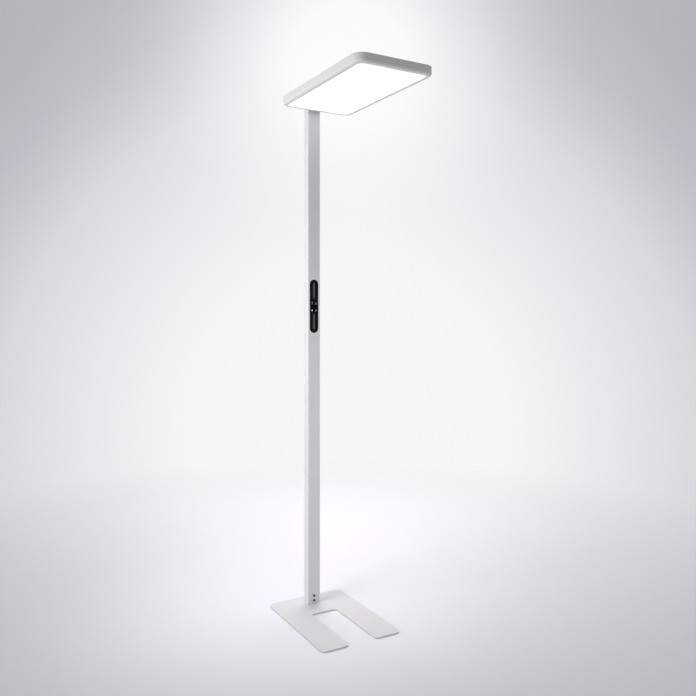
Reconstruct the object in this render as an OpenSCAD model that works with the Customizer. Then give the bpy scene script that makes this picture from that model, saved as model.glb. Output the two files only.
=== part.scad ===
// Office floor lamp: a flat light head cantilevered from a slim mast that stands on a U-shaped base plate.
// Millimetres. Z is up, X points forward, the way the head and the two legs reach.
// The origin is on the floor, straight below the mast's axis.

/* [Overall] */
// Height of the lamp above the floor
lamp_h = 1950; // [1700:10:2200]

/* [Base plate] */
// Length of the base plate, front to back
base_l = 453; // [430:1:520]
// Width of the base plate
base_w = 314; // [290:1:360]
// Thickness of the base plate
base_t = 5; // [5:0.5:10]
// Distance from the mast's axis back to the plate's rear edge
base_back = 66.5; // [60:0.5:85]
// Length of the gap between the two legs
gap_l = 287; // [220:1:300]
// Width of the gap between the two legs
gap_w = 106; // [80:1:130]
// Radius of the plate's two rear corners
base_rear_r = 26; // [18:1:40]
// Radius of the corners at the ends of the legs
leg_r = 18; // [8:1:30]
// Radius of the two inner corners of the gap
gap_r = 12; // [6:1:25]

/* [Floor mats] */
// Thickness of the soft mats under the plate
mat_t = 1.5; // [1:0.5:4]
// Distance of the mats from the plate's edges
mat_inset = 9; // [5:1:14]
// Radius of the mats' corners
mat_r = 9; // [4:1:16]

/* [Mast] */
// Width of the mast, side to side
mast_w = 52; // [50:1:64]
// Depth of the mast, front to back
mast_d = 35; // [34:1:44]
// Wall thickness of the mast extrusion
mast_wall = 2; // [1.8:0.1:2.4]
// Outer corner radius of the mast extrusion
mast_r = 2.5; // [1.5:0.5:4]
// Bore of the four screw ports in the extrusion
port_bore = 3.3; // [3:0.1:3.6]
// Wall of the screw ports round their bore
port_wall = 1.15; // [0.9:0.05:1.3]
// How far the rails that hold the gear strip stand off the side walls
rail_h = 2.5; // [1.5:0.1:3]
// Thickness of each rail
rail_t = 1.2; // [0.8:0.1:1.6]
// Thickness of the cap on top of the mast
cap_t = 3; // [2.5:0.5:5]

/* [Mast foot] */
// Height of the foot block inside the mast
foot_h = 62; // [50:1:80]
// Spacing of the base screws along X
foot_pitch_x = 18; // [14:1:20]
// Spacing of the base screws along Y
foot_pitch_y = 22; // [18:1:24]
// Height of the lower clamp screw above the plate
clamp_z = 14; // [10:0.5:20]
// Distance between the two clamp screws
clamp_pitch = 18; // [14:0.5:26]

/* [Head] */
// Length of the head, front to back
head_l = 580; // [540:5:700]
// Width of the head
head_w = 300; // [280:5:360]
// Thickness of the head
head_t = 30; // [29:0.5:34]
// Corner radius of the head in plan
head_r = 38; // [32:1:60]
// Radius of the rounded lower edge
edge_r = 10; // [8:0.5:12]
// Width of the rim between the head's side and the glowing sheet
rim_w = 20; // [18:0.5:23]
// Wall thickness of the head housing
skin_t = 2; // [1.6:0.1:2.4]
// Gap between the mast's front face and the head
neck_gap = 8; // [5:0.5:15]

/* [Inside the head] */
// Height of the light tray's underside above the head's underside
tray_z = 18; // [17:0.5:18.5]
// Thickness of the light tray
tray_t = 2; // [1.5:0.1:2.2]
// Distance of the light tray's edge from the head's side
tray_inset = 4.5; // [3.5:0.5:6]
// Thickness of the flange round the glowing sheet
flange_t = 1.5; // [1:0.1:2]
// How far the flange laps over the rim
flange_lap = 4.5; // [3:0.1:5]
// Thickness of the top cover
cover_t = 1.5; // [1:0.1:1.6]
// How deep the top cover lies below the housing's upper edge
cover_sink = 2; // [1.9:0.1:2.2]
// Thickness of the clear sheet under the top cover
lens_t = 2; // [1.5:0.1:2.2]
// Rear border of the top window
window_rear = 140; // [134:1:180]
// Front border of the top window
window_front = 32; // [26:1:60]
// Side border of the top window
window_side = 32; // [26:1:60]
// Thickness of a light board
board_t = 1.6; // [1:0.1:1.6]
// Width of a light board
board_w = 18; // [14:1:24]
// Number of boards that shine down
down_boards_n = 4; // [2:1:5]
// Number of lights on a board that shines down
down_leds_n = 14; // [8:1:20]
// Number of lights on a board that shines up
up_leds_n = 10; // [6:1:16]
// Edge length of a single light
led_size = 3; // [2:0.5:4]
// Height of a single light
led_h = 0.8; // [0.5:0.1:1]

/* [Arm] */
// Height of the arm's spigot inside the mast
spigot_h = 90; // [70:1:140]
// Height of the neck between mast and head
neck_h = 18.5; // [17:0.5:19]
// Thickness of the arm's plate on the light tray
plate_t = 5; // [4:0.5:5.5]
// Width of the arm's plate
plate_w = 120; // [90:2:160]
// Length of the arm's plate
plate_l = 100; // [80:1:104]
// Distance between the two screws in the back of the mast
arm_pitch = 40; // [30:1:50]

/* [Control panel] */
// Height of the panel's middle above the floor
panel_z = 1164.5; // [1130:0.5:1300]
// Length of the panel
panel_l = 207; // [205:1:230]
// Width of the panel
panel_w = 36; // [34:0.5:36.4]
// Thickness of the glossy cover
glass_t = 1.5; // [1.2:0.1:2]
// How deep the cover's face lies behind the mast's face
glass_sink = 0.5; // [0.2:0.1:1]
// Depth of the carrier behind the cover
carrier_d = 10; // [9:0.5:11]
// Wall thickness of the carrier
carrier_wall = 1.6; // [1.2:0.1:2]
// Length of each finger groove
groove_l = 71; // [66:1:80]
// Width of each finger groove
groove_w = 16; // [12:0.5:20]
// Depth of the dished finger grooves at their middle
groove_d = 0.4; // [0.2:0.1:0.8]
// Distance from the panel's middle to the middle of a groove
groove_off = 60.5; // [56:0.5:62]
// Length of the light line in a groove
line_l = 57; // [40:1:60]
// Width of the light line in a groove
line_w = 3; // [2:0.1:4]
// Diameter of the status light
status_d = 4.5; // [3:0.1:6]
// Sideways distance of the touch marks from the panel's middle line
mark_y = 8.3; // [7:0.1:10]
// Height of the two upper marks above the panel's middle
mark_up = 12.4; // [11:0.1:14]
// Depth of the two lower marks below the panel's middle
mark_down = 16.4; // [14:0.1:17]
// Stroke width of the touch marks
mark_t = 1; // [0.6:0.1:1.4]
// Length of the two arrow marks
arrow_l = 10; // [7:0.5:11]
// Length of the strokes that make an arrow's head
arrow_head = 4.2; // [3:0.1:4.8]
// Radius of the ring mark
ring_r = 2.6; // [2:0.1:4]
// Thickness of the touch board
pcb_t = 1.6; // [1:0.1:1.6]

/* [Gear in the mast] */
// Thickness of the gear strip
strip_t = 1.5; // [1.2:0.1:2]
// Length of the gear strip
strip_l = 970; // [940:5:1020]
// Distance of the gear strip's middle behind the mast's axis
strip_back = 7.5; // [7:0.1:8]
// Length of the driver
driver_l = 360; // [280:5:380]
// Width of the driver
driver_w = 30; // [26:1:32]
// Depth of the driver
driver_d = 21; // [18:0.5:21.5]
// Height of the driver's lower end above the floor
driver_z = 640; // [600:5:650]
// Height of the terminal block's lower end above the floor
terminal_z = 130; // [122:1:200]
// Length of the terminal block
terminal_l = 40; // [30:1:50]
// Width of the terminal block
terminal_w = 30; // [24:1:36]
// Depth of the terminal block
terminal_d = 16; // [12:0.5:18]

/* [Leads] */
// Diameter of the lead from the driver to the head
led_lead_d = 5; // [4:0.1:5.4]
// Diameter of the lead from the terminal block to the driver
mains_lead_d = 6; // [5:0.1:7]
// Diameter of the lead from the driver to the touch board
touch_lead_d = 3; // [2:0.1:3.6]
// Inner radius of the head lead's bend, at its middle line
bend_r = 12; // [10:0.5:12.5]
// Width of the lead guides, along the mast
guide_h = 12; // [8:1:20]

/* [Cord gland] */
// Height of the gland's axis above the floor
gland_z = 95; // [90:1:110]
// Diameter of the gland's thread in the mast wall
gland_d = 16; // [15:0.5:17]
// Width across the flats of the gland's collar and nut
gland_af = 20; // [19:0.5:22]
// Length of the gland's cap
gland_cap_l = 17; // [15:0.5:20]
// Bore of the seal, where the cord goes in
cord_bore = 7.2; // [6:0.1:7.6]

/* [Screws] */
// Diameter of the screws from the base plate into the foot
base_screw_d = 6; // [5:0.5:6]
// Length of the base screws
base_screw_l = 20; // [16:1:26]
// Diameter of the clamp and arm screws in the mast
clamp_d = 5; // [4:0.5:6]
// Diameter of the head of the clamp and arm screws
clamp_head_d = 8.5; // [7:0.5:10]
// Height of the head of the clamp and arm screws
clamp_head_h = 2.8; // [2:0.1:3.5]
// Length of the clamp screws
clamp_l = 16; // [12:1:18]
// Diameter of the screws between the arm and the light tray
arm_screw_d = 4; // [3:0.5:5]
// Core diameter of the small cover and tray screws
small_d = 2.4; // [2:0.1:2.8]
// Head diameter of the small screws
small_head_d = 5.5; // [4.5:0.1:6]
// Head height of the small screws
small_head_h = 1.8; // [1.2:0.1:1.8]
// Length of the small screws
small_l = 8; // [6:0.5:9]

/* [Fits] */
// Clearance between pieces that slide or plug together
fit = 0.3; // [0.2:0.05:0.35]
// Clearance between a screw and its threaded hole
thread_fit = 0.05; // [0.03:0.01:0.1]

/* [Hidden] */
$fn = 72;
// How far a cut runs past the face that it opens
past = 1;
// How deep a boss, web or rail reaches into the wall that carries it
root = 0.4;
// Room below a screw's tip in its hole
tip_room = 2;

// Heights
base_top = mat_t + base_t;
foot_top = base_top + foot_h;
tube_top = lamp_h - cap_t;
head_z0 = lamp_h - head_t;

// Base plate
base_x0 = -base_back;
base_x1 = base_l - base_back;
gap_x0 = base_x1 - gap_l;
mat_hole_r = base_screw_d + 1;

// Mast section
front_x = mast_d / 2;
inner_x = front_x - mast_wall;
inner_y = mast_w / 2 - mast_wall;
port_r = port_bore / 2 + port_wall;
port_x = inner_x - port_r + root;
port_y = inner_y - port_r + root;
plug_w = 2 * (port_y - port_r - fit);
plug_d = 2 * (inner_x - fit);
groove_half = strip_t / 2 + fit / 2;
strip_x0 = -strip_back - strip_t / 2;
strip_x1 = strip_x0 + strip_t;

// Head, in its own frame: middle of the plan, underside at zero
head_x0 = front_x + neck_gap;
head_cx = head_x0 + head_l / 2;
opening_l = head_l - 2 * rim_w;
opening_w = head_w - 2 * rim_w;
opening_r = head_r - rim_w;
glow_sink = 0.4;
flange_top = skin_t + flange_t;
tray_top = tray_z + tray_t;
cover_z = head_t - cover_sink - cover_t;
boss_r = 3.5;
boss_in = 8.5;
boss_foot = 0.75 * skin_t;
web_t = 1.6;
cover_boss_end = 60;
tray_boss_end = 100;
cover_boss_x = [for (i = [-1.5:1.5]) i * (head_l / 2 - cover_boss_end) / 1.5];
tray_boss_x = [for (i = [-1:1]) i * (head_l / 2 - tray_boss_end)];
lens_lap = 8;
window_l = head_l - window_rear - window_front;
window_w = head_w - 2 * window_side;
window_cx = (window_rear - window_front) / 2;
window_r = 10;
light_border = 32;
down_board_l = head_l - 2 * light_border - 16;
down_pitch = (head_w - 2 * light_border) / down_boards_n;
up_board_l = window_l - 16;
up_board_y = window_w / 4;

// Arm
neck_z0 = head_t - neck_h;
lead_room = 0.5;
rear_in = -head_l / 2 + skin_t;
channel_r = led_lead_d / 2 + lead_room + 0.2;
lead_z = tray_top + led_lead_d / 2 + lead_room;
plate_x0 = rear_in + 0.5;
plate_x1 = plate_x0 + plate_l;
plate_slot_w = 2 * channel_r + 5;
plate_slot_x = plate_x0 + 12;
plate_r = 12;
arm_screw_x = [plate_x0 + 24, plate_x1 - 14];
arm_screw_y = plate_w / 2 - 14;
arm_screw_head_d = 2 * arm_screw_d;
spigot_top = tube_top - 0.5;
spigot_z0 = spigot_top - spigot_h;
arm_low_z = spigot_z0 + 18;
connector_x0 = plate_x1 + 5;
connector_l = 20;
connector_w = 24;
connector_h = led_lead_d + 1;

// Control panel
glass_x1 = front_x - glass_sink;
glass_x0 = glass_x1 - glass_t;
carrier_x0 = glass_x0 - carrier_d;
carrier_floor = 1.6;
carrier_l = panel_l - 0.4;
carrier_w = panel_w - 0.4;
post_h = 2.5;
post_r = 2.4;
pcb_x0 = carrier_x0 + carrier_floor + post_h;
pcb_x1 = pcb_x0 + pcb_t;
pcb_l = carrier_l - 2 * carrier_wall - 2 * fit;
pcb_w = carrier_w - 2 * carrier_wall - 2 * fit;
post_z = (pcb_l / 2 + groove_off + line_l / 2) / 2;
pcb_screw_d = 1.6;
pcb_screw_floor = 0.6;
slip = 0.1;
hook_w = 8;
hook_out = 1.2;
hook_l = 6;
plug_box = [8, 10, 12];
plug_z = panel_z - 40;
dish_r = (groove_w * groove_w / 4 + groove_d * groove_d) / (2 * groove_d);
dish_fn = 180;
touch_lead_y = -mark_y;
touch_lead_x = carrier_x0 - 0.4 - touch_lead_d / 2;
plug_x0 = touch_lead_x - touch_lead_d / 2;

// Gear in the mast
strip_w = 2 * (inner_y - fit);
ear_l = 12;
ear_w = 16;
ear_t = 1.5;
driver_r = 1.5;
driver_screw_d = 3.8;
driver_cx = strip_x1 + driver_d / 2;
driver_top = driver_z + driver_l;
terminal_cx = strip_x1 + terminal_d / 2;
cord_hole_r = cord_bore / 2 + 2;
guide_ring = 1.8;
guide_stem = 4;
panel_top = panel_z + panel_l / 2;
guide_zs = [for (i = [1, 2]) panel_top + i * (spigot_z0 - panel_top) / 3 - guide_h / 2];

// Cord gland
nut_t = 4;
collar_t = 5;
gland_seat = 1;
gland_body_l = 12;
gland_bore_r = cord_bore / 2 + 1.8;
gland_neck_d = gland_d - 1.5;
cap_af = gland_af - 1;
cap_dome_r = cap_af / 2 - 0.1;
cap_round = 5;

// ---- Outlines ----

// The sliver between a square corner at the origin and its round in the first quadrant
module corner_round(r) {
  difference() {
    translate([-past, -past]) square(r + past);
    translate([r, r]) circle(r);
  }
}

// Rectangle with round corners, centred on the origin
module rounded_rect(l, w, r) {
  difference() {
    square([l, w], center = true);
    for (q = [0:3]) {
      x = q == 0 || q == 3 ? -l / 2 : l / 2;
      y = q < 2 ? -w / 2 : w / 2;
      translate([x, y]) rotate(90 * q) corner_round(r);
    }
  }
}

// Upright slot with round ends, centred on the origin
module pill(l, w) {
  square([w, l - w], center = true);
  for (s = [-1, 1]) translate([0, s * (l - w) / 2]) circle(d = w);
}

// Extrusion of a front-view outline along X, from x0 on
module facing(x0, depth) {
  translate([x0, 0, 0]) rotate([90, 0, 90]) linear_extrude(depth) children();
}

// Sweep of a section round a rounded rectangle: the section's x goes in from the outline, its y goes up
module sweep_round(l, w, r) {
  for (q = [0:3]) {
    across = q % 2 == 0 ? l : w;
    along = q % 2 == 0 ? w : l;
    rotate(90 * q) {
      translate([across / 2, along / 2 - r, 0]) rotate([90, 0, 0]) linear_extrude(along - 2 * r)
        mirror([1, 0]) children();
      translate([across / 2 - r, along / 2 - r, 0]) rotate_extrude(angle = 90)
        translate([r, 0]) mirror([1, 0]) children();
    }
  }
}

// ---- Screws ----

// Countersunk screw with its flat face at zero, pointing up, or the hole for it where grow is over zero
module countersunk(d, head_d, l, grow = 0) {
  cylinder(h = (head_d - d) / 2, r1 = head_d / 2 + grow, r2 = d / 2 + grow);
  cylinder(h = l, r = d / 2 + grow);
}

module countersunk_screw(d, head_d, l) {
  difference() {
    countersunk(d, head_d, l);
    translate([0, 0, -past]) cylinder(h = past + 0.3 * d, d = 0.75 * d, $fn = 6);
  }
}

// Screw with a round-edged head on the plane at zero, its shank pointing down
module headed_screw(d, head_d, head_h, l) {
  difference() {
    union() {
      rotate_extrude() difference() {
        square([head_d / 2, head_h]);
        translate([head_d / 2, head_h]) rotate(180) corner_round(head_h / 3);
      }
      translate([0, 0, -l]) cylinder(h = l + root, d = d);
    }
    translate([0, 0, 0.4 * head_h]) cylinder(h = head_h, d = 0.42 * head_d, $fn = 6);
  }
}

// ---- Base ----

module base_outline() {
  half = base_w / 2;
  gap = gap_w / 2;
  outer = [
    [base_x0, -half, 0, base_rear_r], [base_x0, half, 270, base_rear_r],
    [base_x1, -half, 90, leg_r], [base_x1, half, 180, leg_r],
    [base_x1, -gap, 180, leg_r], [base_x1, gap, 90, leg_r]
  ];
  difference() {
    translate([base_x0, -half]) square([base_l, base_w]);
    translate([gap_x0, -gap]) square([gap_l + past, gap_w]);
    for (c = outer) translate([c[0], c[1]]) rotate(c[2]) corner_round(c[3]);
  }
  translate([gap_x0, -gap]) corner_round(gap_r);
  translate([gap_x0, gap]) rotate(270) corner_round(gap_r);
}

module foot_places() {
  for (x = [-1, 1], y = [-1, 1]) translate([x * foot_pitch_x / 2, y * foot_pitch_y / 2, 0]) children();
}

module base_plate() {
  color("#e4e4e4") difference() {
    translate([0, 0, mat_t]) linear_extrude(base_t) base_outline();
    foot_places() translate([0, 0, mat_t]) countersunk(base_screw_d, 2 * base_screw_d, base_t + past, fit);
  }
}

module floor_mats() {
  rear_l = gap_x0 - base_x0 - 2 * mat_inset;
  rear_w = base_w - 2 * mat_inset;
  leg_l = gap_l - 2 * mat_inset;
  leg_w = (base_w - gap_w) / 2 - 2 * mat_inset;
  color("#3a3a3a") {
    difference() {
      translate([(base_x0 + gap_x0) / 2, 0, 0]) linear_extrude(mat_t) rounded_rect(rear_l, rear_w, mat_r);
      foot_places() translate([0, 0, -past]) cylinder(h = mat_t + 2 * past, r = mat_hole_r);
    }
    for (s = [-1, 1]) translate([gap_x0 + gap_l / 2, s * (base_w + gap_w) / 4, 0])
      linear_extrude(mat_t) rounded_rect(leg_l, leg_w, mat_r);
  }
}

module clamp_places(x, turn) {
  for (i = [0, 1]) translate([x, 0, base_top + clamp_z + i * clamp_pitch]) rotate([0, turn, 0]) children();
}

module mast_foot() {
  color("#b8babc") difference() {
    translate([-plug_d / 2, -plug_w / 2, base_top]) cube([plug_d, plug_w, foot_h]);
    foot_places() translate([0, 0, mat_t])
      cylinder(h = base_screw_l + tip_room, r = base_screw_d / 2 + thread_fit);
    clamp_places(front_x, 90) translate([0, 0, -clamp_l - tip_room])
      cylinder(h = clamp_l + tip_room, r = clamp_d / 2 + thread_fit);
  }
}

module base_screws() {
  color("#8c8f92") foot_places() translate([0, 0, mat_t])
    countersunk_screw(base_screw_d, 2 * base_screw_d, base_screw_l);
}

module clamp_screws() {
  color("#3c3c3e") clamp_places(front_x, 90) headed_screw(clamp_d, clamp_head_d, clamp_head_h, clamp_l);
}

// ---- Mast ----

module port_places() {
  for (x = [-1, 1], y = [-1, 1]) translate([x * port_x, y * port_y]) children();
}

module mast_section() {
  inner_r = max(mast_r - mast_wall, 0.5);
  fill = port_r;
  difference() {
    union() {
      difference() {
        rounded_rect(mast_d, mast_w, mast_r);
        rounded_rect(2 * inner_x, 2 * inner_y, inner_r);
      }
      port_places() circle(port_r);
      for (x = [-1, 1], y = [-1, 1]) translate([x * (port_x + fill / 2), y * (port_y + fill / 2)])
        square(fill, center = true);
      for (x = [-1, 1], y = [-1, 1])
        translate([-strip_back + x * (groove_half + rail_t / 2), y * (inner_y - rail_h / 2 + root / 2)])
          square([rail_t, rail_h + root], center = true);
    }
    port_places() circle(d = port_bore);
  }
}

module arm_screw_places() {
  for (i = [0, 1]) translate([-front_x, 0, arm_low_z + i * arm_pitch]) rotate([0, -90, 0]) children();
}

module mast_tube() {
  color("#dcdcdc") difference() {
    translate([0, 0, base_top]) linear_extrude(tube_top - base_top) mast_section();
    translate([0, 0, panel_z]) facing(inner_x - past, mast_wall + 2 * past)
      pill(panel_l + 2 * fit, panel_w + 2 * fit);
    translate([inner_x - past, -plug_w / 2 - fit, head_z0 + neck_z0 - fit])
      cube([mast_wall + 2 * past, plug_w + 2 * fit, head_t]);
    clamp_places(inner_x - past, 90) cylinder(h = mast_wall + 2 * past, r = clamp_d / 2 + fit);
    arm_screw_places() translate([0, 0, -mast_wall - past])
      cylinder(h = mast_wall + 2 * past, r = clamp_d / 2 + fit);
    translate([-front_x - past, 0, gland_z]) rotate([0, 90, 0])
      cylinder(h = mast_wall + 2 * past, r = gland_d / 2 + fit);
  }
}

module cap_screw_places() {
  for (s = [-1, 1]) translate([s * port_x, s * port_y, lamp_h]) rotate([180, 0, 0]) children();
}

module mast_cap() {
  color("#dcdcdc") difference() {
    translate([0, 0, tube_top]) linear_extrude(cap_t) rounded_rect(mast_d, mast_w, mast_r);
    cap_screw_places() countersunk(port_bore - 2 * thread_fit, 2 * port_bore, cap_t + past, fit / 2);
  }
}

module cap_screws() {
  color("#9a9c9e") cap_screw_places()
    countersunk_screw(port_bore - 2 * thread_fit, 2 * port_bore, cap_t + 10);
}

// ---- Cord gland, on the back of the mast ----

// Piece of the gland along -X from the mast's rear face, with zero at that face and z pointing backwards
module on_gland() {
  translate([-front_x, 0, gland_z]) rotate([0, -90, 0]) children();
}

module gland_body() {
  color("#c9c9c9") on_gland() difference() {
    union() {
      cylinder(h = collar_t, r = gland_af / sqrt(3), $fn = 6);
      translate([0, 0, -mast_wall - nut_t - 0.5]) cylinder(h = mast_wall + nut_t + 1, d = gland_d);
      cylinder(h = collar_t + gland_body_l, d = gland_neck_d);
    }
    translate([0, 0, -mast_wall - nut_t - past])
      cylinder(h = mast_wall + nut_t + collar_t + gland_body_l + 2 * past, r = gland_bore_r);
  }
}

module gland_nut() {
  color("#c9c9c9") on_gland() difference() {
    translate([0, 0, -mast_wall - nut_t]) cylinder(h = nut_t, r = gland_af / sqrt(3), $fn = 6);
    translate([0, 0, -mast_wall - nut_t - past]) cylinder(h = nut_t + 2 * past, r = gland_d / 2 + thread_fit);
  }
}

module gland_cap() {
  color("#c9c9c9") on_gland() translate([0, 0, collar_t + gland_seat]) difference() {
    union() {
      cylinder(h = gland_cap_l / 2, r = cap_af / sqrt(3), $fn = 6);
      rotate_extrude() difference() {
        square([cap_dome_r, gland_cap_l]);
        translate([cap_dome_r, gland_cap_l]) rotate(180) corner_round(cap_round);
      }
    }
    translate([0, 0, -past])
      cylinder(h = gland_body_l - gland_seat + past + fit, r = gland_neck_d / 2 + thread_fit);
    translate([0, 0, -past]) cylinder(h = gland_cap_l + 2 * past, r = gland_bore_r);
  }
}

module gland_seal() {
  seal_l = gland_body_l + 2;
  color("#2c2c2c") on_gland() translate([0, 0, collar_t]) difference() {
    cylinder(h = seal_l, r = gland_bore_r - slip / 2);
    translate([0, 0, -past]) cylinder(h = seal_l + 2 * past, d = cord_bore);
  }
}

// ---- Gear in the mast ----

module driver_screw_places() {
  for (z = [driver_z - ear_l / 2, driver_top + ear_l / 2])
    translate([strip_x1 + ear_t, 0, z]) rotate([0, 90, 0]) children();
}

module driver_screw_hole(clearance) {
  through = ear_t + strip_t;
  translate([0, 0, -through - past]) cylinder(h = through + 2 * past, r = driver_screw_d / 2 + clearance);
}

module gear_strip() {
  color("#b4b6b8") difference() {
    translate([strip_x0, -strip_w / 2, foot_top]) cube([strip_t, strip_w, strip_l]);
    translate([strip_x0 - past, 0, gland_z]) rotate([0, 90, 0])
      cylinder(h = strip_t + 2 * past, r = cord_hole_r);
    driver_screw_places() driver_screw_hole(thread_fit);
  }
}

module terminal_block() {
  pole_pitch = terminal_w / 3;
  lever_w = 5;
  lever_h = 1.5;
  wire_depth = 12;
  color("#ececec") difference() {
    union() {
      translate([strip_x1, -terminal_w / 2, terminal_z]) cube([terminal_d, terminal_w, terminal_l]);
      for (i = [-1:1])
        translate([strip_x1 + terminal_d - root, i * pole_pitch - lever_w / 2, terminal_z + terminal_l / 2])
          cube([lever_h + root, lever_w, terminal_l / 3]);
    }
    for (i = [-1:1]) translate([terminal_cx, i * pole_pitch, terminal_z - past])
      cylinder(h = past + wire_depth, d = pole_pitch / 2);
  }
}

module led_driver() {
  color("#f2f2f2") {
    translate([driver_cx, 0, driver_z]) linear_extrude(driver_l)
      rounded_rect(driver_d, driver_w, driver_r);
    difference() {
      for (z = [driver_z - ear_l, driver_top - root]) translate([strip_x1, -ear_w / 2, z])
        cube([ear_t, ear_w, ear_l + root]);
      driver_screw_places() driver_screw_hole(fit);
    }
  }
}

module driver_screws() {
  color("#9a9c9e") driver_screw_places()
    headed_screw(driver_screw_d, 1.85 * driver_screw_d, 2, ear_t + strip_t + 2);
}

module mains_lead() {
  color("#f5f5f5") translate([terminal_cx, 0, terminal_z + terminal_l])
    cylinder(h = driver_z - terminal_z - terminal_l, d = mains_lead_d);
}

// The head lead's way: up the mast's axis, round one bend and forward into the head; also cuts its channel
module head_lead_way(r, z0, x1) {
  way_z = head_z0 + lead_z;
  translate([0, 0, z0]) cylinder(h = way_z - bend_r - z0, r = r);
  translate([bend_r, 0, way_z - bend_r]) rotate([90, 0, 0]) rotate(90) rotate_extrude(angle = 90)
    translate([bend_r, 0]) circle(r);
  translate([bend_r, 0, way_z]) rotate([0, 90, 0]) cylinder(h = x1 - bend_r, r = r);
}

module head_lead() {
  color("#f5f5f5") head_lead_way(led_lead_d / 2, driver_top, head_cx + connector_x0);
}

module touch_lead() {
  lead_top = plug_z - plug_box[2] / 2;
  color("#2c2c2c") translate([touch_lead_x, touch_lead_y, driver_top])
    cylinder(h = lead_top - driver_top, d = touch_lead_d);
}

// Plastic guides in the mast's rails that keep the head lead on the mast's axis
module lead_guides() {
  ring_r = led_lead_d / 2 + fit + guide_ring;
  color("#f0f0f0") for (z = guide_zs) difference() {
    union() {
      translate([strip_x0, -strip_w / 2, z]) cube([strip_t, strip_w, guide_h]);
      translate([strip_x1 - root, -guide_stem / 2, z]) cube([-strip_x1, guide_stem, guide_h]);
      translate([0, 0, z]) cylinder(h = guide_h, r = ring_r);
    }
    translate([0, 0, z - past]) cylinder(h = guide_h + 2 * past, r = led_lead_d / 2 + fit);
  }
}

// ---- Control panel ----

module groove_places() {
  for (s = [-1, 1]) translate([0, s * groove_off]) children();
}

module post_places() {
  for (s = [-1, 1]) translate([0, s * post_z]) children();
}

// Arrow that points up, centred on the origin; grow widens it all round
module arrow(grow) {
  stroke = mark_t + 2 * grow;
  square([stroke, arrow_l + 2 * grow], center = true);
  for (turn = [-135, 135]) translate([0, arrow_l / 2]) rotate(turn) translate([-stroke / 2, -stroke / 2])
    square([stroke, arrow_head + grow]);
}

// The touch marks: an arrow up, an arrow down and a ring; grow widens their pockets in the cover
module mark_shapes(grow = 0) {
  translate([-mark_y, mark_up]) arrow(grow);
  translate([mark_y, mark_up]) rotate(180) arrow(grow);
  translate([mark_y, -mark_down]) difference() {
    circle(r = ring_r + grow);
    circle(r = ring_r - mark_t - grow);
  }
}

module panel_carrier() {
  tip = carrier_l / 2;
  color("#1c1c1c") translate([0, 0, panel_z]) difference() {
    union() {
      facing(carrier_x0, carrier_d) difference() {
        pill(carrier_l, carrier_w);
        pill(carrier_l - 2 * carrier_wall, carrier_w - 2 * carrier_wall);
      }
      facing(carrier_x0, carrier_floor) pill(carrier_l - carrier_wall, carrier_w - carrier_wall);
      facing(carrier_x0, carrier_floor + post_h) post_places() circle(post_r);
      for (s = [0, 1]) mirror([0, 0, s]) translate([0, hook_w / 2, 0]) rotate([90, 0, 0])
        linear_extrude(hook_w) polygon([
          [inner_x - fit, tip - past], [inner_x - fit, tip + hook_out], [inner_x - fit - 1, tip + hook_out],
          [inner_x - fit - hook_l, tip], [inner_x - fit - hook_l, tip - past]
        ]);
    }
    facing(carrier_x0 + pcb_screw_floor, carrier_d) post_places()
      circle(d = pcb_screw_d + 2 * thread_fit);
    translate([carrier_x0 + carrier_floor / 2, touch_lead_y, plug_z - panel_z])
      cube([carrier_floor + 2 * past, plug_box[1] + 2 * fit, plug_box[2] + 2 * fit], center = true);
  }
}

module touch_board() {
  color("#2f6b45") {
    translate([0, 0, panel_z]) facing(pcb_x0, pcb_t) difference() {
      pill(pcb_l, pcb_w);
      post_places() circle(d = pcb_screw_d + 2 * fit);
    }
    translate([plug_x0, touch_lead_y - plug_box[1] / 2, plug_z - plug_box[2] / 2])
      cube([pcb_x0 + root - plug_x0, plug_box[1], plug_box[2]]);
  }
}

module board_screws() {
  color("#9a9c9e") for (s = [-1, 1]) translate([pcb_x1, 0, panel_z + s * post_z]) rotate([0, 90, 0])
    headed_screw(pcb_screw_d, 2 * pcb_screw_d, 1.2, pcb_t + post_h - 0.5);
}

module slider_lights() {
  color("#d8dde0") translate([0, 0, panel_z]) facing(pcb_x1, glass_x1 - groove_d - pcb_x1)
    groove_places() pill(line_l, line_w);
}

module status_light() {
  color("#ffffff") translate([pcb_x1, -mark_y, panel_z - mark_down]) rotate([0, 90, 0])
    cylinder(h = glass_x1 - pcb_x1, d = status_d);
}

module touch_marks() {
  color("#8c9296") translate([0, 0, panel_z]) facing(glass_x1 - groove_d, groove_d) mark_shapes();
}

// The finger grooves' cuts: long shallow dishes with round ends, in the cover's front face
module groove_dishes() {
  straight = groove_l - groove_w;
  for (s = [-1, 1]) translate([glass_x1 + dish_r - groove_d, 0, s * groove_off]) {
    cylinder(h = straight, r = dish_r, center = true, $fn = dish_fn);
    for (e = [-1, 1]) translate([0, 0, e * straight / 2]) sphere(r = dish_r, $fn = dish_fn);
  }
}

module touch_cover() {
  color("#0c0c0e") translate([0, 0, panel_z]) difference() {
    facing(glass_x0, glass_t) pill(panel_l, panel_w);
    facing(glass_x1 - groove_d, groove_d + past) mark_shapes(slip / 2);
    groove_dishes();
    facing(glass_x0 - past, glass_t + past) groove_places() pill(line_l + 2 * slip, line_w + 2 * slip);
    facing(glass_x0 - past, glass_t + 2 * past) translate([-mark_y, -mark_down])
      circle(d = status_d + 2 * slip);
  }
}

// ---- Arm ----

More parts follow.
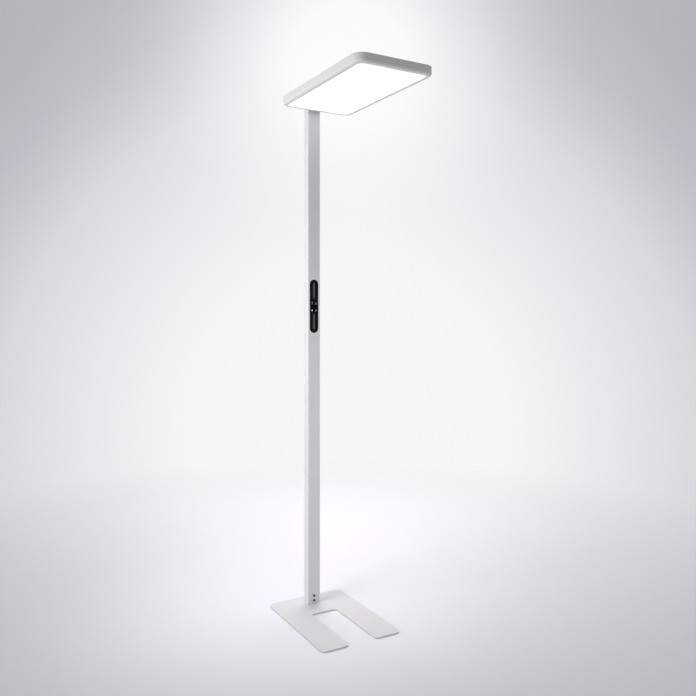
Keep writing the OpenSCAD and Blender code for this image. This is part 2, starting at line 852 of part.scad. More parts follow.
module head_arm() {
  color("#c4c6c8") difference() {
    union() {
      translate([-plug_d / 2, -plug_w / 2, spigot_z0]) cube([plug_d, plug_w, spigot_h]);
      translate([0, -plug_w / 2, head_z0 + neck_z0])
        cube([front_x + root, plug_w, spigot_top - head_z0 - neck_z0]);
      translate([front_x + slip, -plug_w / 2, head_z0 + neck_z0])
        cube([neck_gap + skin_t - slip, plug_w, neck_h]);
      translate([head_cx + rear_in - past, -plug_w / 2, head_z0 + tray_top])
        cube([plate_slot_x - rear_in, plug_w, plate_t]);
      translate([head_cx + (plate_x0 + plate_x1) / 2, 0, head_z0 + tray_top])
        linear_extrude(plate_t) rounded_rect(plate_l, plate_w, plate_r);
    }
    head_lead_way(channel_r, spigot_z0 - past, head_cx + plate_slot_x + past);
    translate([head_cx + plate_slot_x, -plate_slot_w / 2, head_z0 + tray_top - past])
      cube([plate_l, plate_slot_w, plate_t + 2 * past]);
    arm_screw_places() translate([0, 0, -clamp_l]) cylinder(h = clamp_l, r = clamp_d / 2 + thread_fit);
    tray_arm_places() countersunk(arm_screw_d, arm_screw_head_d, plate_t + past, fit);
  }
}

module arm_screws() {
  color("#3c3c3e") arm_screw_places() headed_screw(clamp_d, clamp_head_d, clamp_head_h, clamp_l - 5);
}

module tray_arm_places() {
  for (x = arm_screw_x, s = [-1, 1])
    translate([head_cx + x, s * arm_screw_y, head_z0 + tray_top + plate_t]) rotate([180, 0, 0]) children();
}

module tray_arm_screws() {
  color("#9a9c9e") tray_arm_places() countersunk_screw(arm_screw_d, arm_screw_head_d, plate_t + tray_t);
}

// ---- Head ----

module in_head(z = 0) {
  translate([head_cx, 0, head_z0 + z]) children();
}

// Section of the housing's wall, rounded lower edge and lip
module rim_section() {
  difference() {
    square([rim_w, head_t]);
    corner_round(edge_r);
    translate([skin_t, skin_t]) difference() {
      square([rim_w, head_t]);
      corner_round(edge_r - skin_t);
    }
  }
}

// Places of the bosses along both long sides, the side wall lying towards +Y
module boss_places(xs) {
  for (x = xs) {
    translate([x, head_w / 2 - boss_in, 0]) children();
    translate([x, boss_in - head_w / 2, 0]) rotate(180) children();
  }
}

module wall_boss(top) {
  difference() {
    union() {
      translate([0, 0, boss_foot]) cylinder(h = top - boss_foot, r = boss_r);
      translate([-web_t / 2, 0, edge_r]) cube([web_t, boss_in - skin_t + root, top - edge_r - 2]);
    }
    translate([0, 0, top - small_l - tip_room])
      cylinder(h = small_l + tip_room + past, r = small_d / 2 + thread_fit);
  }
}

module head_housing() {
  color("#dedede") in_head() difference() {
    union() {
      sweep_round(head_l, head_w, head_r) rim_section();
      boss_places(cover_boss_x) wall_boss(cover_z);
      boss_places(tray_boss_x) wall_boss(tray_z);
    }
    translate([-head_l / 2 - past, -plug_w / 2 - fit, neck_z0 - fit])
      cube([skin_t + 2 * past, plug_w + 2 * fit, head_t]);
  }
}

module diffuser() {
  color("#ffffff") in_head() {
    translate([0, 0, glow_sink]) linear_extrude(flange_top - glow_sink)
      rounded_rect(opening_l - 2 * fit, opening_w - 2 * fit, opening_r - fit);
    translate([0, 0, skin_t]) linear_extrude(flange_t)
      rounded_rect(opening_l + 2 * flange_lap, opening_w + 2 * flange_lap, opening_r + flange_lap);
  }
}

// Section of the white frame that slopes from the glowing sheet up to the light tray
module reflector_section() {
  h = tray_z - flange_top;
  t = 1.4;
  foot = 3.2;
  slope = 6.8;
  wall = 1.6;
  lip = 2;
  top_x = foot + slope;
  polygon([
    [0, 0], [foot, 0], [foot, t], [top_x, h - t], [top_x + lip, h - t], [top_x + lip, h],
    [top_x - wall, h], [top_x - wall, h - t], [foot - wall, t], [0, t]
  ]);
}

module reflector_frame() {
  color("#fafafa") in_head(flange_top) sweep_round(head_l, head_w, head_r)
    translate([rim_w - flange_lap + 0.2, 0]) reflector_section();
}

module light_tray() {
  color("#c8cacc") in_head(tray_z) difference() {
    linear_extrude(tray_t)
      rounded_rect(head_l - 2 * tray_inset, head_w - 2 * tray_inset, head_r - tray_inset);
    boss_places(cover_boss_x) translate([-boss_r - 1, -boss_r - 1, -past])
      cube([2 * boss_r + 2, boss_in + boss_r + past, tray_t + 2 * past]);
    boss_places(tray_boss_x) translate([0, 0, -past]) cylinder(h = tray_t + 2 * past, r = small_d / 2 + fit);
    for (x = arm_screw_x, s = [-1, 1]) translate([x, s * arm_screw_y, -past])
      cylinder(h = tray_t + 2 * past, r = arm_screw_d / 2 + thread_fit);
  }
}

// A light board on the plane at zero, its lights standing up from it
module light_board(l, n) {
  step = l / n;
  translate([-l / 2, -board_w / 2, 0]) cube([l, board_w, board_t]);
  for (i = [0:n - 1]) translate([-l / 2 + (i + 0.5) * step - led_size / 2, -led_size / 2, board_t - 0.1])
    cube([led_size, led_size, led_h + 0.1]);
}

module down_boards() {
  color("#f4f4ee") in_head(tray_z) for (i = [0:down_boards_n - 1])
    translate([0, (i - (down_boards_n - 1) / 2) * down_pitch, 0]) rotate([180, 0, 0])
      light_board(down_board_l, down_leds_n);
}

module up_boards() {
  color("#f4f4ee") in_head(tray_top) for (s = [-1, 1]) translate([window_cx, s * up_board_y, 0])
    light_board(up_board_l, up_leds_n);
}

module head_connector() {
  color("#e8e8e8") in_head(tray_top) translate([connector_x0, -connector_w / 2, 0])
    cube([connector_l, connector_w, connector_h]);
}

module tray_screws() {
  color("#9a9c9e") in_head(tray_top) boss_places(tray_boss_x)
    headed_screw(small_d, small_head_d, small_head_h, small_l);
}

module top_lens() {
  color("#eef4f6") in_head(cover_z - lens_t) translate([window_cx, 0, 0]) linear_extrude(lens_t)
    rounded_rect(window_l + 2 * lens_lap, window_w + 2 * lens_lap, window_r + lens_lap);
}

module top_cover() {
  inset = skin_t + fit;
  color("#dedede") in_head(cover_z) difference() {
    linear_extrude(cover_t) difference() {
      rounded_rect(head_l - 2 * inset, head_w - 2 * inset, head_r - inset);
      translate([window_cx, 0]) rounded_rect(window_l, window_w, window_r);
    }
    boss_places(cover_boss_x) translate([0, 0, -past])
      cylinder(h = cover_t + 2 * past, r = small_d / 2 + fit);
  }
}

module cover_screws() {
  color("#9a9c9e") in_head(cover_z + cover_t) boss_places(cover_boss_x)
    headed_screw(small_d, small_head_d, small_head_h, small_l);
}

// ---- The lamp, piece by piece ----

base_plate();
floor_mats();
mast_foot();
base_screws();
mast_tube();
clamp_screws();
gland_body();
gland_cap();
gland_seal();
gland_nut();
gear_strip();
terminal_block();
led_driver();
driver_screws();
mains_lead();
head_lead();
touch_lead();
lead_guides();
panel_carrier();
touch_board();
board_screws();
slider_lights();
status_light();
touch_marks();
touch_cover();
mast_cap();
cap_screws();
head_arm();
arm_screws();
tray_arm_screws();
head_housing();
diffuser();
reflector_frame();
light_tray();
down_boards();
up_boards();
head_connector();
tray_screws();
top_lens();
top_cover();
cover_screws();
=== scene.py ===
"""Office floor lamp: a flat light head on a slim mast, with a black touch panel and a U-shaped base plate.

Metres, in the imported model's frame: Z is up, X points forward, the origin is on the floor under the mast.
"""
import math

import bmesh
import bpy
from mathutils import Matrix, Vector
from mathutils.geometry import delaunay_2d_cdt


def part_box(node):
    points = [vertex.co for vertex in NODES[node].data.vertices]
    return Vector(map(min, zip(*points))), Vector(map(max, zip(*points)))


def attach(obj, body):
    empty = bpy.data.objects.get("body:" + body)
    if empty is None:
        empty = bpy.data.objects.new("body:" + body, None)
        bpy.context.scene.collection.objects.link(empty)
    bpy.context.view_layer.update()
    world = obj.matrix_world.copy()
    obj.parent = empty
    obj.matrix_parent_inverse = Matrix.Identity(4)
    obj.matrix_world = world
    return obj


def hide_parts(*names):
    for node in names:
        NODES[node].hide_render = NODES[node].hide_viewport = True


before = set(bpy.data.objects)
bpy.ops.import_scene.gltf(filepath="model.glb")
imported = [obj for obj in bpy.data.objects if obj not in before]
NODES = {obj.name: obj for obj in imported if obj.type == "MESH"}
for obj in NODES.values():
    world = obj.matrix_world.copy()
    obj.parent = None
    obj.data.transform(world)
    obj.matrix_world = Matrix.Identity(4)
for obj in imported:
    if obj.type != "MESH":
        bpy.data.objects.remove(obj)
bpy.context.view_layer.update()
MM = 0.001

# Corners nearer than this are one corner, and this much is too little to see
WELD, HAIR = 0.002 * MM, 0.01 * MM
# The touch cover's dished finger grooves (length, width, depth), and the length of the light line in each
GROOVE_L, GROOVE_W, GROOVE_D = 71 * MM, 16 * MM, 0.4 * MM
LINE_L = 57 * MM
# Width of the arm's neck, its underside above the head's underside, and the gap round it in the housing
NECK_W, NECK_Z0, NECK_GAP = 37.3 * MM, 11.5 * MM, 0.3 * MM


# ---- Nodes and colours ----

def srgb(code):
    """Linear colour from an sRGB hex code such as "e8e8e8", with alpha 1."""
    parts = [int(code[i:i + 2], 16) / 255 for i in (0, 2, 4)]
    return [p / 12.92 if p <= 0.04045 else ((p + 0.055) / 1.055) ** 2.4 for p in parts] + [1.0]


def feed(tree, node, inputs):
    """Gives each named socket of a node its value, or a link from a socket or a node's first live output."""
    for name, value in inputs.items():
        if isinstance(value, bpy.types.Node):
            value = next(output for output in value.outputs if output.enabled)
        if isinstance(value, bpy.types.NodeSocket):
            tree.links.new(value, node.inputs[name])
        else:
            node.inputs[name].default_value = value


def add(tree, kind, inputs=None, **settings):
    """Adds one node with its settings, the values of its sockets and the links into them."""
    made = tree.nodes.new(kind)
    for name, value in settings.items():
        setattr(made, name, value)
    feed(tree, made, inputs or {})
    return made


def new_material(name):
    """A new material: returns it, its node tree, its surface shader and the Object coordinates in metres."""
    made = bpy.data.materials.new(name)
    made.use_nodes = True
    tree = made.node_tree
    return made, tree, tree.nodes["Principled BSDF"], add(tree, "ShaderNodeTexCoord").outputs["Object"]


# ---- Materials ----

# Sizes of the patterns. A powder coat's pebbles are really about 0.4 mm across, a spark-eroded grain 0.1 mm,
# the lines of rolled or milled metal 0.2 mm, plated crystals 0.1 mm and rubber dust 0.3 mm. All are too fine
# to show in a render where a pixel is about 4 mm, so they are drawn coarser, as given here.
COAT_CLOUD, COAT_PEBBLE = 60 * MM, 1.6 * MM
MOULD_CLOUD, MOULD_GRAIN = 12 * MM, 0.6 * MM
METAL_LINE = 0.8 * MM
PLATED_CLOUD, PLATED_CRYSTAL = 1.2 * MM, 0.3 * MM
RUBBER_DUST = 1.5 * MM
DRAW_MARK = 1 * MM
OPAL_GRAIN = 0.7 * MM
CLEAR_HAZE, GLOSS_HAZE = 25 * MM, 14 * MM
FROST_CELL = 3 * MM
# Circuit tracks: their width, the length between joins and the pitch
TRACK_W, TRACK_L, TRACK_PITCH = 0.4 * MM, 24 * MM, 6 * MM
# Width of the opal sheet's dimmer border, and the strength of its glow
OPAL_BORDER, GLOW = 35 * MM, 0.7
# The painted highlight round each groove, a grey line for the light its rim catches, is full up to the first
# distance from its middle, gone at the second
PAINTED_HIGHLIGHT_FULL, PAINTED_HIGHLIGHT_GONE = 0.25 * MM, 0.6 * MM
# A light line is full up to the first distance from its middle, and dim at the second
LINE_FULL, LINE_DIM = 0.3 * MM, 1.2 * MM
# The part of a noise's range that most of it falls in
NOISE_SPAN = {"From Min": 0.3, "From Max": 0.7}


def powder_coat(name, dark, light):
    """Fine-texture polyester powder coat, sprayed and baked: dry, faintly pebbled, and it spreads light."""
    made, tree, surface, place = new_material(name)
    cloud = add(tree, "ShaderNodeTexNoise", {"Vector": place, "Scale": 1 / COAT_CLOUD})
    pebbles = add(tree, "ShaderNodeTexNoise", {"Vector": place, "Scale": 1 / COAT_PEBBLE})
    feed(tree, surface, {
        "IOR": 1.5,
        "Base Color": add(tree, "ShaderNodeMix", {"Factor": cloud, "A": srgb(dark), "B": srgb(light)},
                          data_type="RGBA"),
        "Roughness": add(tree, "ShaderNodeMapRange",
                         {"Value": pebbles, **NOISE_SPAN, "To Min": 0.46, "To Max": 0.58}),
        "Normal": add(tree, "ShaderNodeBump", {"Height": pebbles, "Distance": 0.03 * MM})})
    return made


def moulded(name, dark, light, rough):
    """Injection-moulded plastic with a fine spark-eroded grain: an even, slightly waxy sheen."""
    made, tree, surface, place = new_material(name)
    cloud = add(tree, "ShaderNodeTexNoise", {"Vector": place, "Scale": 1 / MOULD_CLOUD})
    grain = add(tree, "ShaderNodeTexNoise", {"Vector": place, "Scale": 1 / MOULD_GRAIN})
    feed(tree, surface, {
        "IOR": 1.46,
        "Base Color": add(tree, "ShaderNodeMix", {"Factor": cloud, "A": srgb(dark), "B": srgb(light)},
                          data_type="RGBA"),
        "Roughness": add(tree, "ShaderNodeMapRange",
                         {"Value": grain, **NOISE_SPAN, "To Min": rough - 0.05, "To Max": rough + 0.05}),
        "Normal": add(tree, "ShaderNodeBump", {"Height": grain, "Distance": 0.02 * MM})})
    return made


def worked_metal(name, dark, light, rough, stretch):
    """Bare metal with the fine lines of rolling or milling along one axis, which draw its highlights out."""
    made, tree, surface, place = new_material(name)
    along = add(tree, "ShaderNodeMapping", {"Vector": place, "Scale": stretch})
    lines = add(tree, "ShaderNodeTexNoise", {"Vector": along, "Scale": 1 / METAL_LINE, "Detail": 3.0})
    feed(tree, surface, {
        "Metallic": 1.0,
        "Base Color": add(tree, "ShaderNodeMix", {"Factor": lines, "A": srgb(dark), "B": srgb(light)},
                          data_type="RGBA"),
        "Roughness": add(tree, "ShaderNodeMapRange",
                         {"Value": lines, **NOISE_SPAN, "To Min": rough - 0.06, "To Max": rough + 0.08}),
        "Normal": add(tree, "ShaderNodeBump", {"Height": lines, "Distance": 0.01 * MM})})
    return made


def plated(name, dark, light, rough):
    """Plated or oxidised screw steel: the coating's cloudy crystals dull the shine in patches."""
    made, tree, surface, place = new_material(name)
    cloud = add(tree, "ShaderNodeTexNoise", {"Vector": place, "Scale": 1 / PLATED_CLOUD})
    crystals = add(tree, "ShaderNodeTexNoise", {"Vector": place, "Scale": 1 / PLATED_CRYSTAL})
    feed(tree, surface, {
        "Metallic": 1.0,
        "Base Color": add(tree, "ShaderNodeMix", {"Factor": cloud, "A": srgb(dark), "B": srgb(light)},
                          data_type="RGBA"),
        "Roughness": add(tree, "ShaderNodeMapRange",
                         {"Value": cloud, **NOISE_SPAN, "To Min": rough - 0.06, "To Max": rough + 0.1}),
        "Normal": add(tree, "ShaderNodeBump", {"Height": crystals, "Distance": 0.008 * MM})})
    return made


def soft_rubber(name, dark, light):
    """Moulded or cut rubber: matte and dusty, with a fine sheen at grazing angles and no clear reflection."""
    made, tree, surface, place = new_material(name)
    dust = add(tree, "ShaderNodeTexNoise", {"Vector": place, "Scale": 1 / RUBBER_DUST, "Detail": 4.0})
    feed(tree, surface, {
        "Roughness": 0.85, "Sheen Weight": 0.15, "IOR": 1.5,
        "Base Color": add(tree, "ShaderNodeMix", {"Factor": dust, "A": srgb(dark), "B": srgb(light)},
                          data_type="RGBA"),
        "Normal": add(tree, "ShaderNodeBump", {"Height": dust, "Distance": 0.05 * MM})})
    return made


def cable_sheath(name, dark, light):
    """Extruded PVC sheath: smooth along the lead, with faint long draw marks."""
    made, tree, surface, place = new_material(name)
    along = add(tree, "ShaderNodeMapping", {"Vector": place, "Scale": (1, 1, 0.05)})
    marks = add(tree, "ShaderNodeTexNoise", {"Vector": along, "Scale": 1 / DRAW_MARK})
    feed(tree, surface, {
        "IOR": 1.53,
        "Base Color": add(tree, "ShaderNodeMix", {"Factor": marks, "A": srgb(dark), "B": srgb(light)},
                          data_type="RGBA"),
        "Roughness": add(tree, "ShaderNodeMapRange",
                         {"Value": marks, **NOISE_SPAN, "To Min": 0.38, "To Max": 0.5})})
    return made


def lit_opal(name):
    """Opal acrylic sheet, extruded and lit from inside: pure even white, hardly dimmer near its frame."""
    made, tree, surface, place = new_material(name)
    low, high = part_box("diffuser")
    apart = add(tree, "ShaderNodeSeparateXYZ", {"Vector": place}).outputs
    borders = []
    for k, axis in enumerate("XY"):
        half = (high[k] - low[k]) / 2
        off = add(tree, "ShaderNodeMath", {0: apart[axis], 1: (low[k] + high[k]) / 2}, operation="SUBTRACT")
        far = add(tree, "ShaderNodeMath", {0: off}, operation="ABSOLUTE")
        borders.append(add(tree, "ShaderNodeMapRange",
                           {"Value": far, "From Min": half - OPAL_BORDER, "From Max": half},
                           interpolation_type="SMOOTHSTEP"))
    border = add(tree, "ShaderNodeMath", {0: borders[0], 1: borders[1]}, operation="MAXIMUM")
    grain = add(tree, "ShaderNodeTexNoise", {"Vector": place, "Scale": 1 / OPAL_GRAIN})
    feed(tree, surface, {
        "Base Color": srgb("f6f6f4"), "Roughness": 0.35, "IOR": 1.49, "Emission Strength": GLOW,
        "Emission Color": add(tree, "ShaderNodeMix",
                              {"Factor": border, "A": srgb("ffffff"), "B": srgb("f0f1f4")}, data_type="RGBA"),
        "Normal": add(tree, "ShaderNodeBump", {"Height": grain, "Distance": 0.01 * MM})})
    return made


def clear_sheet(name):
    """Clear acrylic sheet: see-through, with a faint cool tone and polished faces."""
    made, tree, surface, place = new_material(name)
    haze = add(tree, "ShaderNodeTexNoise", {"Vector": place, "Scale": 1 / CLEAR_HAZE})
    feed(tree, surface, {
        "Base Color": srgb("f4fafa"), "IOR": 1.49, "Transmission Weight": 1.0,
        "Roughness": add(tree, "ShaderNodeMapRange",
                         {"Value": haze, **NOISE_SPAN, "To Min": 0.03, "To Max": 0.07})})
    return made


def black_gloss(name):
    """Back-painted black acrylic: a hard shine over deep black, with a grey painted highlight round each
    groove's rim.
    """
    made, tree, surface, place = new_material(name)
    low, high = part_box("slider_lights")
    middle = (low.z + high.z) / 2
    groove_z = high.z - LINE_L / 2 - middle
    apart = add(tree, "ShaderNodeSeparateXYZ", {"Vector": place}).outputs
    # Distance from the middle line of the nearer groove, then from its outline
    along = apart["Z"]
    for operation, value in (("SUBTRACT", middle), ("ABSOLUTE", 0), ("SUBTRACT", groove_z), ("ABSOLUTE", 0),
                             ("SUBTRACT", (GROOVE_L - GROOVE_W) / 2), ("MAXIMUM", 0)):
        along = add(tree, "ShaderNodeMath", {0: along, 1: value}, operation=operation)
    spot = add(tree, "ShaderNodeCombineXYZ", {"X": apart["Y"], "Y": along})
    off = add(tree, "ShaderNodeVectorMath", {0: spot}, operation="LENGTH")
    for operation, value in (("SUBTRACT", GROOVE_W / 2), ("ABSOLUTE", 0)):
        off = add(tree, "ShaderNodeMath", {0: off, 1: value}, operation=operation)
    # Painted highlight: a grey line round each groove's rim, standing in for the light the rim catches
    outline = add(tree, "ShaderNodeMapRange", {
        "Value": off, "From Min": PAINTED_HIGHLIGHT_FULL, "From Max": PAINTED_HIGHLIGHT_GONE, "To Min": 1.0, "To Max": 0.0})
    upright = add(tree, "ShaderNodeMapping", {"Vector": place, "Scale": (1, 1, 0.3)})
    haze = add(tree, "ShaderNodeTexNoise", {"Vector": upright, "Scale": 1 / GLOSS_HAZE, "Detail": 3.0})
    face = add(tree, "ShaderNodeMix", {"Factor": haze, "A": srgb("020203"), "B": srgb("050506")},
               data_type="RGBA")
    feed(tree, surface, {
        "IOR": 1.49, "Specular IOR Level": 0.1,
        # The grey 4c4c4f is the painted highlight on the grooves' rims
        "Base Color": add(tree, "ShaderNodeMix", {"Factor": outline, "A": face, "B": srgb("4c4c4f")},
                          data_type="RGBA"),
        "Roughness": add(tree, "ShaderNodeMapRange",
                         {"Value": haze, **NOISE_SPAN, "To Min": 0.06, "To Max": 0.13})})
    return made


def lit_window(name, face, glow, strength, narrow=False):
    """Small frosted light guide, lit from behind; a narrow one glows along its middle and dims outwards."""
    made, tree, surface, place = new_material(name)
    cells = add(tree, "ShaderNodeTexNoise", {"Vector": place, "Scale": 1 / FROST_CELL})
    colour = add(tree, "ShaderNodeMix", {"Factor": cells, "A": srgb(glow[0]), "B": srgb(glow[1])},
                 data_type="RGBA")
    if narrow:
        across = add(tree, "ShaderNodeSeparateXYZ", {"Vector": place}).outputs["Y"]
        off = add(tree, "ShaderNodeMath", {0: across}, operation="ABSOLUTE")
        dim = add(tree, "ShaderNodeMapRange", {"Value": off, "From Min": LINE_FULL, "From Max": LINE_DIM},
                  interpolation_type="SMOOTHSTEP")
        colour = add(tree, "ShaderNodeMix", {"Factor": dim, "A": colour, "B": srgb("131314")},
                     data_type="RGBA")
    feed(tree, surface, {"Base Color": srgb(face), "Roughness": 0.4, "IOR": 1.49,
                         "Emission Strength": strength, "Emission Color": colour})
    return made


def circuit_board(name, mask, track, test=None, level=0.0):
    """Circuit board: satin lacquer, in another tone over its tracks; what stands past a level is a light."""
    made, tree, surface, place = new_material(name)
    colour = add(tree, "ShaderNodeTexBrick", {
        "Vector": place, "Scale": 1.0, "Color1": srgb(mask), "Color2": srgb(mask), "Mortar": srgb(track),
        "Mortar Size": TRACK_W, "Brick Width": TRACK_L, "Row Height": TRACK_PITCH})
    if test:
        height = add(tree, "ShaderNodeSeparateXYZ", {"Vector": place}).outputs["Z"]
        is_light = add(tree, "ShaderNodeMath", {0: height, 1: level}, operation=test)
        colour = add(tree, "ShaderNodeMix", {"Factor": is_light, "A": colour, "B": srgb("f2df9a")},
                     data_type="RGBA")
        warm = add(tree, "ShaderNodeMix", {"Factor": is_light, "A": srgb("000000"), "B": srgb("fff2d8")},
                   data_type="RGBA")
        feed(tree, surface, {"Emission Strength": 3.0, "Emission Color": warm})
    feed(tree, surface, {"Roughness": 0.35, "IOR": 1.5, "Base Color": colour})
    return made


WHITE_COAT = powder_coat("Powder-coated steel, white", "e3e3e2", "e8e8e8")
MAST_COAT = powder_coat("Powder-coated aluminium, white", "dfdfe2", "e4e4e7")
# Painted shade: the base plate has the same white coat as the head, made greyer so the plate reads dimmer
SHADED_PLATE_COAT = powder_coat("Powder-coated steel plate, white", "d7d5d7", "dcdadc")
BLACK_GLOSS = black_gloss("Back-painted acrylic, black")
BLACK_MOULDED = moulded("Moulded ABS, black", "101011", "161617", 0.5)
WHITE_MOULDED = moulded("Moulded polycarbonate, white", "e9e9e7", "f0f0ee", 0.42)
GREY_MOULDED = moulded("Moulded polyamide, light grey", "c4c5c6", "cccdce", 0.48)
MAT_RUBBER = soft_rubber("Sheet rubber, charcoal", "2b2b2c", "343435")
SEAL_RUBBER = soft_rubber("Moulded rubber, black", "1d1d1e", "262627")
# The lines run along the axis whose number is small
MILLED = worked_metal("Milled aluminium", "b6b8ba", "c9cacc", 0.34, (1, 1, 0.08))
ROLLED = worked_metal("Rolled aluminium sheet", "bcbec0", "cfd0d1", 0.4, (0.06, 1, 1))
GALVANISED = worked_metal("Galvanised steel strip", "a8abae", "babdc0", 0.42, (1, 1, 0.06))
ZINC = plated("Zinc-plated steel", "a9adb2", "c3c6c9", 0.32)
BLACK_OXIDE = plated("Black-oxide steel", "1c1c1e", "2c2c2f", 0.36)
WHITE_SHEATH = cable_sheath("PVC sheath, white", "e6e6e4", "eeeeec")
BLACK_SHEATH = cable_sheath("PVC sheath, black", "151516", "1e1e1f")
OPAL = lit_opal("Opal acrylic, lit")
CLEAR = clear_sheet("Clear acrylic")
LINE_LIGHT = lit_window("Frosted acrylic, dimly lit", "2c2d2f", ("a8aaad", "bcbec0"), 0.75, narrow=True)
STATUS_LIGHT = lit_window("Frosted acrylic, lit white", "e8e8e8", ("f4f8ff", "ffffff"), 0.7)
MARK_PRINT = lit_window("Translucent ink, lit from behind", "9a9ea2", ("e4e6e8", "f4f6f8"), 0.8)
LIGHT_DOME = moulded("Silicone with phosphor, yellow", "f0dc8c", "f6e6a2", 0.25)
GREEN_BOARD = circuit_board("Circuit board, green lacquer", "1f5a38", "2d7048")
# How deep the small lights show their own colour, from the side of the board that they shine to
LIGHT_DEPTH = 0.5 * MM
DOWN_BOARD = circuit_board("Circuit board, white lacquer, lights below", "f0f0ec", "dcdcd6",
                           "LESS_THAN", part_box("down_boards")[0].z + LIGHT_DEPTH)
UP_BOARD = circuit_board("Circuit board, white lacquer, lights above", "f0f0ec", "dcdcd6",
                         "GREATER_THAN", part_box("up_boards")[1].z - LIGHT_DEPTH)

# The CAD nodes that each finish goes on
FINISH = {
    WHITE_COAT: ["head_housing", "top_cover"],
    SHADED_PLATE_COAT: ["base_plate"],
    MAST_COAT: ["mast_tube", "mast_cap"],
    MAT_RUBBER: ["floor_mats"],
    MILLED: ["mast_foot", "head_arm"],
    ROLLED: ["light_tray"],
    GALVANISED: ["gear_strip"],
    ZINC: ["base_screws", "driver_screws", "board_screws", "cap_screws", "tray_arm_screws", "tray_screws",
           "cover_screws"],
    BLACK_OXIDE: ["clamp_screws", "arm_screws"],
    GREY_MOULDED: ["gland_body", "gland_cap", "gland_nut"],
    SEAL_RUBBER: ["gland_seal"],
    WHITE_MOULDED: ["terminal_block", "led_driver", "head_connector", "lead_guides", "reflector_frame"],
    WHITE_SHEATH: ["mains_lead", "head_lead"],
    BLACK_SHEATH: ["touch_lead"],
    BLACK_MOULDED: ["panel_carrier"],
    GREEN_BOARD: ["touch_board"],
    LINE_LIGHT: ["slider_lights"],
    STATUS_LIGHT: ["status_light"],
    MARK_PRINT: ["touch_marks"],
    BLACK_GLOSS: ["touch_cover"],
    OPAL: ["diffuser"],
    DOWN_BOARD: ["down_boards"],
    UP_BOARD: ["up_boards"],
    CLEAR: ["top_lens"],
}
for finish, names in FINISH.items():
    for name in names:
        NODES[name].data.materials.clear()
        NODES[name].data.materials.append(finish)


# ---- Making and finishing pieces ----

# Points in one turned ring
RING_POINTS = 48


def linked(name, data):
    """A new object in the scene, at the origin, that carries a mesh, a light or a camera."""
    made = bpy.data.objects.new(name, data)
    bpy.context.scene.collection.objects.link(made)
    return made


def as_mesh(name, shape, smooth_under=30):
    """Ends a bmesh as a mesh whose edges look smooth where its faces meet at under that many degrees."""
    mesh = bpy.data.meshes.new(name)
    shape.to_mesh(mesh)
    shape.free()
    mesh.shade_smooth()
    mesh.set_sharp_from_angle(angle=math.radians(smooth_under))
    return mesh


def plain(piece):
    """Turns a piece's modifiers into plain mesh."""
    mesh = bpy.data.meshes.new_from_object(piece.evaluated_get(bpy.context.evaluated_depsgraph_get()))
    mesh.name = piece.name
    piece.modifiers.clear()
    piece.data = mesh


def settle(piece, finish, slot, *nodes):
    """Gives a finished piece its material and body, and lets it stand for CAD nodes; slot is not used."""
    piece.data.materials.clear()
    piece.data.materials.append(finish)
    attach(piece, "root")
    if nodes:
        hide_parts(*nodes)


def span(points):
    """Lowest and highest corners of the box round some points."""
    return [Vector(pick(point[k] for point in points) for k in range(3)) for pick in (min, max)]


def merged(node):
    """A CAD node's copy as a bmesh whose triangles share their corners."""
    shape = bmesh.new()
    shape.from_mesh(NODES[node].data)
    bmesh.ops.remove_doubles(shape, verts=shape.verts, dist=WELD)
    return shape


def groups(items, neighbours):
    """Sorts corners or edges into groups that hang together, always in the same order."""
    seen, found = set(), []
    for start in items:
        if start.index in seen:
            continue
        seen.add(start.index)
        group = [start]
        for item in group:
            for near in neighbours(item):
                if near.index not in seen:
                    seen.add(near.index)
                    group.append(near)
        found.append(group)
    return found


def islands(node):
    """Lowest and highest corners of each separate solid in a CAD node."""
    shape = merged(node)
    found = [span([vert.co for vert in group]) for group in groups(
        shape.verts, lambda vert: [edge.other_vert(vert) for edge in vert.link_edges])]
    shape.free()
    return found


def stacked(name, rings, closed=False):
    """Mesh of rings of equally many points, each joined to the next; its ends are capped or meet."""
    shape = bmesh.new()
    loops = [[shape.verts.new(point) for point in ring] for ring in rings]
    for low, high in zip(loops, loops[1:] + loops[:1] if closed else loops[1:]):
        for i in range(len(low)):
            j = (i + 1) % len(low)
            shape.faces.new((low[i], low[j], high[j], high[i]))
    if not closed:
        shape.faces.new(loops[0])
        shape.faces.new(loops[-1])
    bmesh.ops.recalc_face_normals(shape, faces=shape.faces)
    if shape.calc_volume(signed=True) < 0:
        bmesh.ops.reverse_faces(shape, faces=shape.faces)
    return as_mesh(name, shape, smooth_under=35)


def ring(radius, height, flats=None):
    """Circle of points; with flats, a hexagon of that width across its flats, cut off at radius."""
    points = []
    for i in range(RING_POINTS):
        angle = 2 * math.pi * i / RING_POINTS
        reach = radius
        if flats:
            from_flat = (angle + math.pi / 6) % (math.pi / 3) - math.pi / 6
            reach = min(radius, flats / 2 / math.cos(from_flat))
        points.append((reach * math.cos(angle), reach * math.sin(angle), height))
    return points


